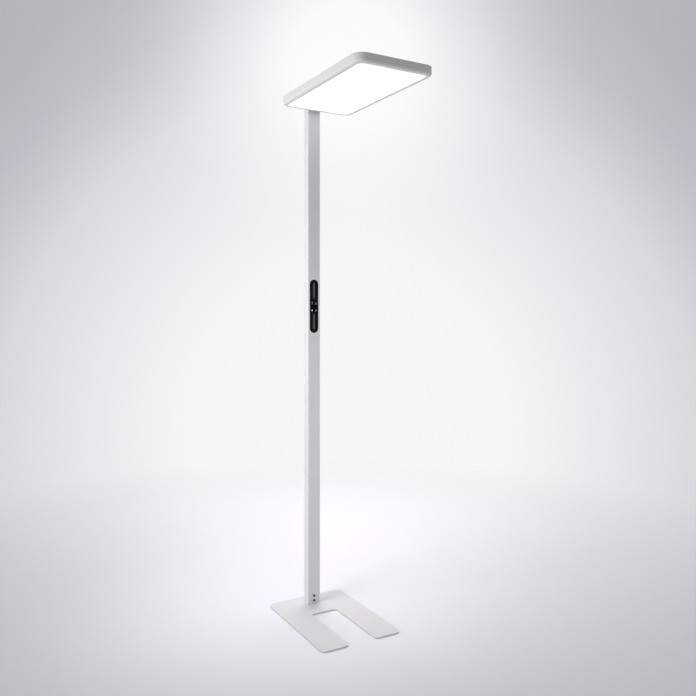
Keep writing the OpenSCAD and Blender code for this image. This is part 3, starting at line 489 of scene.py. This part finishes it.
def repeat_tree():
    """Geometry Nodes: one shape set on every point of another, turned, and made real with its material."""
    tree = bpy.data.node_groups.new("Repeat on points", "GeometryNodeTree")
    for name, kind in (("Shape", "NodeSocketObject"), ("Places", "NodeSocketObject"),
                       ("Turn", "NodeSocketVector"), ("Turn each", "NodeSocketVector"),
                       ("Material", "NodeSocketMaterial")):
        tree.interface.new_socket(name, in_out="INPUT", socket_type=kind)
    tree.interface.new_socket("Geometry", in_out="OUTPUT", socket_type="NodeSocketGeometry")
    given = add(tree, "NodeGroupInput").outputs
    shape = add(tree, "GeometryNodeObjectInfo", {"Object": given["Shape"]}).outputs["Geometry"]
    places = add(tree, "GeometryNodeObjectInfo", {"Object": given["Places"]}).outputs["Geometry"]
    number = add(tree, "GeometryNodeInputIndex")
    step = add(tree, "ShaderNodeVectorMath", {0: given["Turn each"], 1: number}, operation="MULTIPLY")
    turn = add(tree, "ShaderNodeVectorMath", {0: given["Turn"], 1: step}, operation="ADD")
    copies = add(tree, "GeometryNodeInstanceOnPoints",
                 {"Points": places, "Instance": shape, "Rotation": turn})
    real = add(tree, "GeometryNodeRealizeInstances", {"Geometry": copies})
    coated = add(tree, "GeometryNodeSetMaterial", {"Geometry": real, "Material": given["Material"]})
    add(tree, "NodeGroupOutput", {"Geometry": coated})
    return tree


REPEAT = repeat_tree()


def set_inputs(modifier, values):
    """Sets a Geometry Nodes modifier's inputs, each by its socket's identifier."""
    for item in modifier.node_group.interface.items_tree:
        if item.item_type == "SOCKET" and item.in_out == "INPUT" and item.name in values:
            modifier[item.identifier] = values[item.name]


def repeated(name, shape_mesh, places, turn, finish, slot, nodes=(), turn_each=(0, 0, 0)):
    """One shape repeated by Geometry Nodes at a list of places, each turned on by turn_each from the last."""
    shape = linked(name + "_one", shape_mesh)
    points = bpy.data.meshes.new(name + "_places")
    points.from_pydata([tuple(p) for p in places], [], [])
    spots = linked(points.name, points)
    piece = linked(name, bpy.data.meshes.new(name))
    modifier = piece.modifiers.new("Repeat", "NODES")
    modifier.node_group = REPEAT
    set_inputs(modifier, {"Shape": shape, "Places": spots, "Turn": turn, "Turn each": turn_each,
                          "Material": finish})
    plain(piece)
    for helper in (shape, spots):
        bpy.data.objects.remove(helper)
    settle(piece, finish, slot, *nodes)


# ---- Screws whose heads show ----

def screw(name, core, head, head_h, length, socket, sunk):
    """Socket screw that points down, its head's seat at zero; a sunk one has its flat top at zero."""
    chamfer = 0.25 * MM
    rings = [ring(core - chamfer, -length), ring(core, -length + chamfer)]
    if sunk:
        top = 0
        rings += [ring(core, core - head), ring(head, -chamfer / 4), ring(head - chamfer / 4, 0)]
    else:
        top, rim_r = head_h, head_h / 3
        rings += [ring(core, 0), ring(head - chamfer / 2, 0), ring(head, chamfer / 2)]
        for i in range(6):
            turn = math.pi / 2 * i / 5
            rings.append(ring(head - rim_r * (1 - math.cos(turn)), top - rim_r * (1 - math.sin(turn))))
    # The socket: a round mouth just past the hexagon's corners, the hexagon, and its drilled bottom's cone
    mouth, bottom, cone_r, cone_h = 0.6 * socket, top - 0.6 * head_h, 0.2 * socket, 0.15 * socket
    rings += [ring(mouth + 0.02 * socket, top), ring(mouth, top - chamfer / 2, socket),
              ring(socket, bottom, socket), ring(cone_r, bottom - cone_h)]
    return stacked(name, rings)


def screws(node, name, way, finish, slot, core_d, head_h, length, socket, sunk=False):
    """Replaces a CAD node's plain screws, with places and head widths read from its solids; sizes in mm."""
    along = "XYZ".index(way[1])
    across = (along + 1) % 3
    sign = 1 if way[0] == "+" else -1
    solids = islands(node)
    low, high = solids[0]
    head = (high[across] - low[across]) / 2
    places = []
    for low, high in solids:
        place = (low + high) / 2
        place[along] = (high if sign > 0 else low)[along] - (0 if sunk else sign * head_h * MM)
        places.append(place)
    turn = {"+X": (0, math.pi / 2, 0), "-X": (0, -math.pi / 2, 0), "+Z": (0, 0, 0)}[way]
    mesh = screw(name, core_d * MM / 2, head, head_h * MM, length * MM, socket * MM, sunk)
    repeated(name, mesh, places, turn, finish, slot, (node,))


# Node, piece, way that the heads point, finish, slot, and core diameter, head height, length and socket in mm
screws("clamp_screws", "clamp_socket_screws", "+X", BLACK_OXIDE, "black_steel", 5, 2.8, 16, 3.6)
screws("arm_screws", "arm_socket_screws", "-X", BLACK_OXIDE, "black_steel", 5, 2.8, 11, 3.6)
screws("cover_screws", "cover_socket_screws", "+Z", ZINC, "zinc_steel", 2.4, 1.8, 8, 2.2)
screws("cap_screws", "cap_socket_screws", "+Z", ZINC, "zinc_steel", 3.2, 1.6, 13, 2.5, sunk=True)


# ---- Pieces whose long sharp edges are softened ----

# An edge counts as sharp past this angle, and is rounded if its run is longer than this
SHARP, LONG_RUN = math.radians(40), 12 * MM
# Faces that meet at less than this are one flat face
FLAT = math.radians(1)
# After the rounding, edges past this angle look sharp
CRISP = math.radians(38)


def softened(node, name, width, finish, slot, rim=None):
    """A CAD node's copy with its long sharp edges rounded a little, as paint or moulding leaves them.

    Screw holes stay crisp. With a rim given, only the edges that lie that near the node's sides are rounded.
    """
    shape = merged(node)
    bmesh.ops.dissolve_limit(shape, angle_limit=FLAT, verts=shape.verts, edges=shape.edges)
    shape.edges.index_update()
    low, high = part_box(node)

    def near_side(point):
        """Whether a point lies in the rim, where there is one."""
        return rim is None or min(point.x - low.x, high.x - point.x, point.y - low.y, high.y - point.y) < rim

    for edge in shape.edges:
        edge.tag = edge.is_manifold and edge.calc_face_angle() > SHARP and all(
            near_side(vert.co) for vert in edge.verts)
    weight = shape.edges.layers.float.new("bevel_weight_edge")
    for run in groups([edge for edge in shape.edges if edge.tag],
                      lambda edge: [other for vert in edge.verts for other in vert.link_edges if other.tag]):
        start, end = span([vert.co for edge in run for vert in edge.verts])
        if max(end[k] - start[k] for k in range(3)) > LONG_RUN:
            for edge in run:
                edge[weight] = 1.0
    piece = linked(name, as_mesh(name, shape))
    edges = piece.modifiers.new("Soft edges", "BEVEL")
    edges.width = width
    edges.segments = 3
    edges.limit_method = "WEIGHT"
    edges.use_clamp_overlap = False
    plain(piece)
    piece.data.set_sharp_from_angle(angle=CRISP)
    flats = piece.modifiers.new("Flat faces stay flat", "WEIGHTED_NORMAL")
    flats.weight = 100
    flats.keep_sharp = True
    plain(piece)
    settle(piece, finish, slot, node)


softened("base_plate", "base_plate_painted", 0.7 * MM, SHADED_PLATE_COAT, "white_paint")
softened("mast_tube", "mast_painted", 0.35 * MM, MAST_COAT, "white_paint", 1 * MM)
softened("mast_cap", "mast_cap_painted", 0.6 * MM, MAST_COAT, "white_paint", 1 * MM)
softened("top_cover", "top_cover_painted", 0.3 * MM, WHITE_COAT, "white_paint")
softened("head_arm", "head_arm_milled", 0.4 * MM, MILLED, "cast_aluminium")
softened("gland_body", "gland_body_moulded", 0.3 * MM, GREY_MOULDED, "gland_plastic")


# ---- The glossy touch cover, with its dished finger grooves ----

# Gap round the light lines and the status light in their openings, and the front edge's rounding
LIGHT_GAP, COVER_EDGE = 0.1 * MM, 0.35 * MM
# Rings of points that follow a groove's dish, steps in the edge's rounding, and points round the status light
DISH_RINGS, EDGE_STEPS, SPOT_POINTS = 7, 4, 32


def pill_loop(length, width, middle_z=0, arc=28):
    """Outline of an upright slot with round ends, seen from the front, in Y and Z."""
    points = []
    for end in (1, -1):
        for i in range(arc + 1):
            turn = math.pi * i / arc + (0 if end > 0 else math.pi)
            points.append((width / 2 * math.cos(turn),
                           middle_z + end * (length - width) / 2 + width / 2 * math.sin(turn)))
    return points


def inside(point, loop):
    """Whether a point lies in a closed outline."""
    hit = False
    for (x0, y0), (x1, y1) in zip(loop, loop[1:] + loop[:1]):
        if (y0 > point[1]) != (y1 > point[1]) and point[0] < (x1 - x0) * (point[1] - y0) / (y1 - y0) + x0:
            hit = not hit
    return hit


def touch_face():
    """Touch cover as one shell: rounded front edge, two dished grooves and openings for its three lights."""
    low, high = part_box("touch_cover")
    middle_z = (low.z + high.z) / 2
    length, width = high.z - low.z, high.y - low.y
    lines = islands("slider_lights")
    line_low, line_high = lines[0]
    line_l = line_high.z - line_low.z + 2 * LIGHT_GAP
    line_w = line_high.y - line_low.y + 2 * LIGHT_GAP
    groove_z = [(a.z + b.z) / 2 - middle_z for a, b in lines]
    spot_low, spot_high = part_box("status_light")
    spot_r = (spot_high.y - spot_low.y) / 2 + LIGHT_GAP
    spot_y, spot_z = (spot_low.y + spot_high.y) / 2, (spot_low.z + spot_high.z) / 2 - middle_z
    holes = [pill_loop(line_l, line_w, z, arc=8) for z in groove_z]
    holes.append([(spot_y + spot_r * math.cos(t), spot_z + spot_r * math.sin(t))
                  for t in (2 * math.pi * i / SPOT_POINTS for i in range(SPOT_POINTS))])
    rim = pill_loop(length - 2 * COVER_EDGE, width - 2 * COVER_EDGE)
    guides = []
    for z in groove_z:
        for i in range(DISH_RINGS):
            inset = (GROOVE_W - line_w) / 2 * i / DISH_RINGS
            guides.append(pill_loop(GROOVE_L - 2 * inset, GROOVE_W - 2 * inset, z, arc=24))
    dish_r = (GROOVE_W ** 2 / 4 + GROOVE_D ** 2) / (2 * GROOVE_D)

    def at_front(y, z):
        """The point of the front face there, sunk where a groove is dished."""
        for centre in groove_z:
            off = math.hypot(y, max(abs(z - centre) - (GROOVE_L - GROOVE_W) / 2, 0))
            if off < GROOVE_W / 2:
                return high.x - (GROOVE_D - dish_r + math.sqrt(dish_r ** 2 - off ** 2)), y, z + middle_z
        return high.x, y, z + middle_z

    def at_back(y, z):
        """The point of the back face there."""
        return low.x, y, z + middle_z

    def sheet(loops):
        """Points and triangles between the rim and the holes, with every outline kept as an edge."""
        points, edges = [], []
        for loop in loops:
            start = len(points)
            points += [Vector(p) for p in loop]
            edges += [(start + i, start + (i + 1) % len(loop)) for i in range(len(loop))]
        # 0 asks for triangles everywhere, and points nearer than a millionth of a millimetre are one
        points, _, faces = delaunay_2d_cdt(points, edges, [], 0, 1e-9)[:3]
        kept = []
        for face in faces:
            centre = sum((points[i] for i in face), Vector((0, 0))) / len(face)
            if inside(centre, rim) and not any(inside(centre, hole) for hole in holes):
                kept.append(face)
        return points, kept

    shape = bmesh.new()
    for loops, place in (([rim] + holes + guides, at_front), ([rim] + holes, at_back)):
        points, faces = sheet(loops)
        verts = [shape.verts.new(place(*p)) for p in points]
        for face in faces:
            shape.faces.new([verts[i] for i in face])
    # Each wall is a strip of faces through its outlines: one through each opening, one round the cover's side
    walls = [[[place(*p) for p in loop] for place in (at_front, at_back)] for loop in holes]
    side = []
    for i in range(EDGE_STEPS + 1):
        turn = math.pi / 2 * i / EDGE_STEPS
        inset, sink = COVER_EDGE * (1 - math.sin(turn)), COVER_EDGE * (1 - math.cos(turn))
        side.append([(high.x - sink, y, z + middle_z)
                     for y, z in pill_loop(length - 2 * inset, width - 2 * inset)])
    side += [[at_back(*p) for p in pill_loop(length, width)], [at_back(*p) for p in rim]]
    for wall in walls + [side]:
        loops = [[shape.verts.new(p) for p in outline] for outline in wall]
        for a, b in zip(loops, loops[1:]):
            for i in range(len(a)):
                j = (i + 1) % len(a)
                shape.faces.new((a[i], b[i], b[j], a[j]))
    bmesh.ops.remove_doubles(shape, verts=shape.verts, dist=WELD / 2)
    bmesh.ops.delete(shape, geom=[vert for vert in shape.verts if not vert.link_faces], context="VERTS")
    bmesh.ops.recalc_face_normals(shape, faces=shape.faces)
    return as_mesh("touch_cover_glossy", shape)


settle(linked("touch_cover_glossy", touch_face()), BLACK_GLOSS, "black_gloss", "touch_cover")


# ---- The head's shell, swept round its outline ----

def shell_tree():
    """Geometry Nodes: the housing's section swept round a rounded rectangle, with the neck's slot cut out."""
    tree = bpy.data.node_groups.new("Head shell", "GeometryNodeTree")
    for name in ("Length", "Width", "Height", "Corner radius", "Edge radius", "Rim width", "Wall",
                 "Small edge", "Neck width", "Neck bottom"):
        tree.interface.new_socket(name, in_out="INPUT", socket_type="NodeSocketFloat")
    tree.interface.new_socket("Place", in_out="INPUT", socket_type="NodeSocketVector")
    tree.interface.new_socket("Material", in_out="INPUT", socket_type="NodeSocketMaterial")
    tree.interface.new_socket("Geometry", in_out="OUTPUT", socket_type="NodeSocketGeometry")
    given = add(tree, "NodeGroupInput").outputs
    number = add(tree, "GeometryNodeInputIndex")
    rim, wall, top = (add(tree, "ShaderNodeMath", {0: given[name], 1: -1.0}, operation="MULTIPLY")
                      for name in ("Rim width", "Wall", "Height"))
    outer, small = given["Edge radius"], given["Small edge"]
    inner = add(tree, "ShaderNodeMath", {0: outer, 1: given["Wall"]}, operation="SUBTRACT")
    # Corners of the section, whose X points out of the head and Y down: place, points in its rounding, radius
    corners = [(0.0, top, 4, small), (0.0, 0.0, 12, outer), (rim, 0.0, 4, small),
               (rim, wall, 4, small), (wall, wall, 6, inner), (wall, top, 4, small)]
    spots = [add(tree, "ShaderNodeCombineXYZ", {"X": x, "Y": y}) for x, y, _, _ in corners]
    by_corner = []
    for kind, values in (("VECTOR", spots), ("INT", [count for _, _, count, _ in corners]),
                         ("FLOAT", [radius for _, _, _, radius in corners])):
        pick = add(tree, "GeometryNodeIndexSwitch", data_type=kind)
        while len(pick.index_switch_items) < len(values):
            pick.index_switch_items.new()
        feed(tree, pick, {"Index": number, **{i + 1: value for i, value in enumerate(values)}})
        by_corner.append(pick)
    points = add(tree, "GeometryNodePoints", {"Count": len(corners), "Position": by_corner[0]})
    line = add(tree, "GeometryNodePointsToCurves", {"Points": points})
    loop = add(tree, "GeometryNodeSetSplineCyclic", {"Geometry": line, "Cyclic": True})
    section = add(tree, "GeometryNodeFilletCurve",
                  {"Curve": loop, "Count": by_corner[1], "Radius": by_corner[2]}, mode="POLY")
    plan = add(tree, "GeometryNodeCurvePrimitiveQuadrilateral",
               {"Width": given["Length"], "Height": given["Width"]})
    path = add(tree, "GeometryNodeFilletCurve",
               {"Curve": plan, "Count": 24, "Radius": given["Corner radius"]}, mode="POLY")
    shell = add(tree, "GeometryNodeCurveToMesh", {"Curve": path, "Profile Curve": section})
    # The neck's slot: a block that stands in the rear wall, from the slot's bottom to well above the head
    tall = add(tree, "ShaderNodeMath", {0: given["Height"], 1: 4.0}, operation="MULTIPLY")
    middle = add(tree, "ShaderNodeMath", {0: given["Height"], 1: 2.0, 2: given["Neck bottom"]},
                 operation="MULTIPLY_ADD")
    rear = add(tree, "ShaderNodeMath", {0: given["Length"], 1: -0.5}, operation="MULTIPLY")
    size = add(tree, "ShaderNodeCombineXYZ", {"X": outer, "Y": given["Neck width"], "Z": tall})
    block = add(tree, "GeometryNodeMeshCube", {"Size": size})
    cutter = add(tree, "GeometryNodeTransform", {
        "Geometry": block, "Translation": add(tree, "ShaderNodeCombineXYZ", {"X": rear, "Z": middle})})
    cut = add(tree, "GeometryNodeMeshBoolean", {"Mesh 1": shell, "Mesh 2": cutter}, operation="DIFFERENCE",
              solver="EXACT")
    moved = add(tree, "GeometryNodeTransform", {"Geometry": cut, "Translation": given["Place"]})
    real = add(tree, "GeometryNodeRealizeInstances", {"Geometry": moved})
    coated = add(tree, "GeometryNodeSetMaterial", {"Geometry": real, "Material": given["Material"]})
    add(tree, "NodeGroupOutput", {"Geometry": coated})
    return tree


def head_shell():
    """The painted head housing: side wall, rounded lower edge and rim in one smooth sweep."""
    low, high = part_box("head_housing")
    piece = linked("head_shell_painted", bpy.data.meshes.new("head_shell_painted"))
    modifier = piece.modifiers.new("Sweep", "NODES")
    modifier.node_group = shell_tree()
    set_inputs(modifier, {
        "Length": high.x - low.x, "Width": high.y - low.y, "Height": high.z - low.z, "Corner radius": 38 * MM,
        "Edge radius": 10 * MM, "Rim width": 20 * MM, "Wall": 2 * MM, "Small edge": 0.5 * MM,
        "Neck width": NECK_W + 2 * NECK_GAP, "Neck bottom": NECK_Z0 - NECK_GAP,
        "Place": ((low.x + high.x) / 2, 0, low.z), "Material": WHITE_COAT})
    plain(piece)
    piece.data.shade_smooth()
    piece.data.set_sharp_from_angle(angle=math.radians(30))
    settle(piece, WHITE_COAT, "white_paint", "head_housing")


head_shell()


# ---- The cord gland's cap, with its grip ribs ----

# The cap: width across its flats, radii of its mouth and of its seat on the body, and where the seat ends
CAP_FLATS, CAP_MOUTH_R, CAP_SEAT_R, CAP_SEAT_END = 19 * MM, 5.4 * MM, 7.3 * MM, 11.3 * MM
# Its dome's radius, whole length, height of the hexagon, and rounding of the dome's end and of other edges
CAP_DOME_R, CAP_L, CAP_HEX_H, CAP_ROUND, CAP_EDGE = 9.4 * MM, 17 * MM, 8.5 * MM, 5 * MM, 0.5 * MM
# Radii at which the hexagon's corners are cut off, and of the circles where its top and its foot begin
CAP_CORNER_R, CAP_TOP_R, CAP_FOOT_R = CAP_FLATS / 1.8, 9.6 * MM, 9.5 * MM
# The ribs: how many, the radius they stand on, their middle's distance from the wall, and their size
RIBS, RIB_REACH, RIB_FROM_WALL = 20, 9.25 * MM, 10.8 * MM
RIB_L, RIB_W, RIB_H = 3.4 * MM, 1.2 * MM, 0.5 * MM


def gland_cap_mesh():
    """Hexagon, dome and bore of the gland's cap as one turned ring stack, its mouth pointing up from zero."""
    rings = [ring(CAP_MOUTH_R, CAP_SEAT_END), ring(CAP_MOUTH_R, CAP_L - CAP_EDGE),
             ring(CAP_MOUTH_R + CAP_EDGE, CAP_L)]
    for i in range(9):
        turn = math.pi / 2 * i / 8
        # A hair below the end face, so that the two don't share one plane
        rings.append(ring(CAP_DOME_R - CAP_ROUND + CAP_ROUND * math.sin(turn),
                          CAP_L - CAP_ROUND + CAP_ROUND * math.cos(turn) - HAIR))
    rings += [ring(CAP_DOME_R, CAP_HEX_H + CAP_EDGE), ring(CAP_TOP_R, CAP_HEX_H),
              ring(CAP_CORNER_R, CAP_HEX_H - CAP_EDGE, CAP_FLATS), ring(CAP_CORNER_R, CAP_EDGE, CAP_FLATS),
              ring(CAP_FOOT_R, 0), ring(CAP_SEAT_R, 0), ring(CAP_SEAT_R, CAP_SEAT_END)]
    return stacked("gland_cap_one", rings, closed=True)


def rib_mesh():
    """A small rounded rib along Z that stands up from X zero, its back let into the dome."""
    blunt, back = 0.02, -0.4
    rings = []
    for i in range(9):
        along = -math.cos(math.pi * i / 8)
        swell = math.sqrt(max(1 - along ** 4, blunt))
        rings.append([(RIB_H * swell * max(math.cos(t), back), RIB_W / 2 * swell * math.sin(t),
                       RIB_L / 2 * along) for t in (2 * math.pi * k / 10 for k in range(10))])
    return stacked("gland_rib", rings)


def gland_cap():
    """Moulded cap of the cord gland, with grip ribs round its dome."""
    low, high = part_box("gland_cap")
    axis_z = (low.z + high.z) / 2
    to_rear = (0, -math.pi / 2, 0)
    repeated("gland_cap_moulded", gland_cap_mesh(), [(high.x, 0, axis_z)], to_rear, GREY_MOULDED,
             "gland_plastic", ("gland_cap",))
    places = [(high.x - RIB_FROM_WALL, RIB_REACH * math.sin(t), axis_z + RIB_REACH * math.cos(t))
              for t in (2 * math.pi * i / RIBS for i in range(RIBS))]
    repeated("gland_cap_ribs", rib_mesh(), places, to_rear, GREY_MOULDED, "gland_plastic",
             turn_each=(-2 * math.pi / RIBS, 0, 0))


gland_cap()


# ---- The silicone domes of the lights that shine up, seen through the top window ----

# A dome's radius and height, and how deep it sits in its light; corners of one light are nearer than this
DOME_R, DOME_H, DOME_SEAT, LIGHT_REACH = 1.2 * MM, 0.35 * MM, 0.05 * MM, 5 * MM


def light_places(node):
    """Middle of each light's top face on a board that shines up."""
    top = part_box(node)[1].z
    found = []
    for corner in (vert.co for vert in NODES[node].data.vertices if top - vert.co.z < HAIR):
        for group in found:
            if (group[0] - corner).length < LIGHT_REACH:
                group.append(corner)
                break
        else:
            found.append([corner])
    return [sum(span(group), Vector()) / 2 for group in found]


def light_dome():
    """Flat silicone dome over a single light."""
    rings = [ring(DOME_R, -DOME_SEAT)]
    for i in range(6):
        turn = math.pi / 2 * i / 6
        rings.append(ring(DOME_R * math.cos(turn), DOME_H * math.sin(turn)))
    return stacked("light_dome", rings)


repeated("up_light_domes", light_dome(), light_places("up_boards"), (0, 0, 0), LIGHT_DOME, "white_board")


# ---- Studio ----

# Where the photograph's camera stands, and its turn about the upright in radians; its focal length, horizon
# and image width in pixels; and its sensor's width in millimetres, the unit that it takes
CAMERA_PLACE, CAMERA_TURN = (2.5157, -1.2770, 1.1438), 1.0512
FOCAL_PX, HORIZON_ROW, IMAGE_PX = 719.8, 311.6, 696
SENSOR = 36.0
# The floor's radius, how far out it is solid, and where it has faded away
FLOOR_R, FLOOR_SOLID_R, FLOOR_GONE_R = 3.6, 0.6, 2.88

# Each light of the studio: name, place, target, size, watts, colour, beam in degrees
LIGHTS = [
    # From the left, on the near sides of head and mast
    ("key", (-0.2, -3.3, 1.5), (0.1, 0, 1.35), (1.2, 1.2), 10.4, "fffdfa", 66),
    # Straight down on the floor behind the lamp
    ("overhead", (-1.3, 0.75, 3.9), (-1.3, 0.75, 0), (1.8, 1.8), 22.5, "ffffff", 72),
    # From high on the left, for the mast's soft shadow across the plate
    ("foot", (0.45, -1.35, 2.85), (0.08, -0.03, 0), (0.6, 0.6), 1.2, "ffffff", 38),
    # An upright strip before the mast's front
    ("front", (1.7, -0.35, 0.8), (0, 0, 0.86), (0.3, 1.2), 1.2, "ffffff", 60),
    # The floor's light on the head's lower edge
    ("lift", (0.2, -1.1, 0.004), (0.3, -0.1, 1.9), (1.4, 1.4), 2.6, "fffdfa", 70),
]

# The surround is two round lobes of light. Each is brightest in the way the camera looks, raised by so many
# degrees, and its tones are given at so many degrees away from there.
SURROUND = {
    -8.5: [(0, "f7f7f7"), (12, "f6f6f6"), (15, "f1f1f2"), (21, "e5e4e7"), (26, "d9d8dc"), (29, "c9cad0"),
           (32, "bdbec5"), (36, "b5b6bb"), (70, "adaeb0"), (110, "9e9e9f"), (180, "9a9a9a")],
    19: [(0, "f8f8f8"), (4, "f5f5f5"), (6, "e4e4e4"), (8, "cbcbcb"), (10, "b3b3b3"), (12, "939393"),
         (14, "737373"), (16, "595959"), (18, "424242"), (24, "000000"), (180, "000000")],
}


def place_camera():
    """The photograph's camera: level, a person's chest height, with its horizon a little above the middle."""
    data = bpy.data.cameras.new("camera")
    data.sensor_width = SENSOR
    data.lens = FOCAL_PX / IMAGE_PX * SENSOR
    data.shift_y = (HORIZON_ROW - IMAGE_PX / 2) / IMAGE_PX
    made = linked("camera", data)
    made.location = CAMERA_PLACE
    made.rotation_euler = (math.pi / 2, 0, CAMERA_TURN)
    bpy.context.scene.camera = made


def soft_light(name, place, target, size, watts, colour, beam):
    """A studio softbox: a rectangular area light that faces its target, its beam narrowed by a grid."""
    data = bpy.data.lights.new(name, "AREA")
    data.shape = "RECTANGLE"
    data.size, data.size_y = size
    data.energy = watts
    data.color = srgb(colour)[:3]
    data.spread = math.radians(beam)
    made = linked(name, data)
    made.location = place
    made.rotation_euler = (Vector(target) - Vector(place)).to_track_quat("-Z", "Y").to_euler()
    made.visible_camera = False


def make_world():
    """Pale studio surround: bright behind the lamp, falling off to a cool grey, with a glow over the head."""
    world = bpy.data.worlds.new("studio")
    bpy.context.scene.world = world
    world.use_nodes = True
    tree = world.node_tree
    tree.nodes.clear()
    way = add(tree, "ShaderNodeTexCoord").outputs["Generated"]
    ahead = Vector((-math.sin(CAMERA_TURN), math.cos(CAMERA_TURN), 0))
    lobes = []
    for lift, tones in SURROUND.items():
        lift = math.radians(lift)
        axis = (ahead * math.cos(lift) + Vector((0, 0, math.sin(lift)))).normalized()
        toward = add(tree, "ShaderNodeVectorMath", {0: way, 1: axis}, operation="DOT_PRODUCT")
        angle = add(tree, "ShaderNodeMath", {0: toward}, operation="ARCCOSINE")
        share = add(tree, "ShaderNodeMath", {0: angle, 1: math.pi}, operation="DIVIDE")
        lobe = add(tree, "ShaderNodeValToRGB", {"Fac": share})
        stops = lobe.color_ramp.elements
        stops.remove(stops[1])
        stops[0].color = srgb(tones[0][1])
        for degrees, code in tones[1:]:
            stops.new(degrees / 180).color = srgb(code)
        lobes.append(lobe)
    both = add(tree, "ShaderNodeMix", {"Factor": 1.0, "A": lobes[0], "B": lobes[1]}, data_type="RGBA",
               blend_type="SCREEN")
    background = add(tree, "ShaderNodeBackground", {"Color": both, "Strength": 1.0})
    add(tree, "ShaderNodeOutputWorld", {"Surface": background})


def make_floor():
    """Pale studio floor, a disc that fades into the surround before its rim."""
    shape = bmesh.new()
    bmesh.ops.create_circle(shape, cap_ends=True, radius=FLOOR_R, segments=96)
    mesh = bpy.data.meshes.new("floor")
    shape.to_mesh(mesh)
    shape.free()
    made, tree, surface, place = new_material("Studio floor, matte")
    reach = add(tree, "ShaderNodeVectorMath", {0: place}, operation="LENGTH")
    feed(tree, surface, {
        "Base Color": srgb("eceaf1"), "Roughness": 0.6,
        "Alpha": add(tree, "ShaderNodeMapRange",
                     {"Value": reach, "From Min": FLOOR_SOLID_R, "From Max": FLOOR_GONE_R, "To Min": 1.0,
                      "To Max": 0.0}, interpolation_type="SMOOTHSTEP")})
    mesh.materials.append(made)
    linked("floor", mesh)


place_camera()
make_world()
make_floor()
for light in LIGHTS:
    soft_light(*light)
bpy.context.scene.view_settings.view_transform = "Standard"
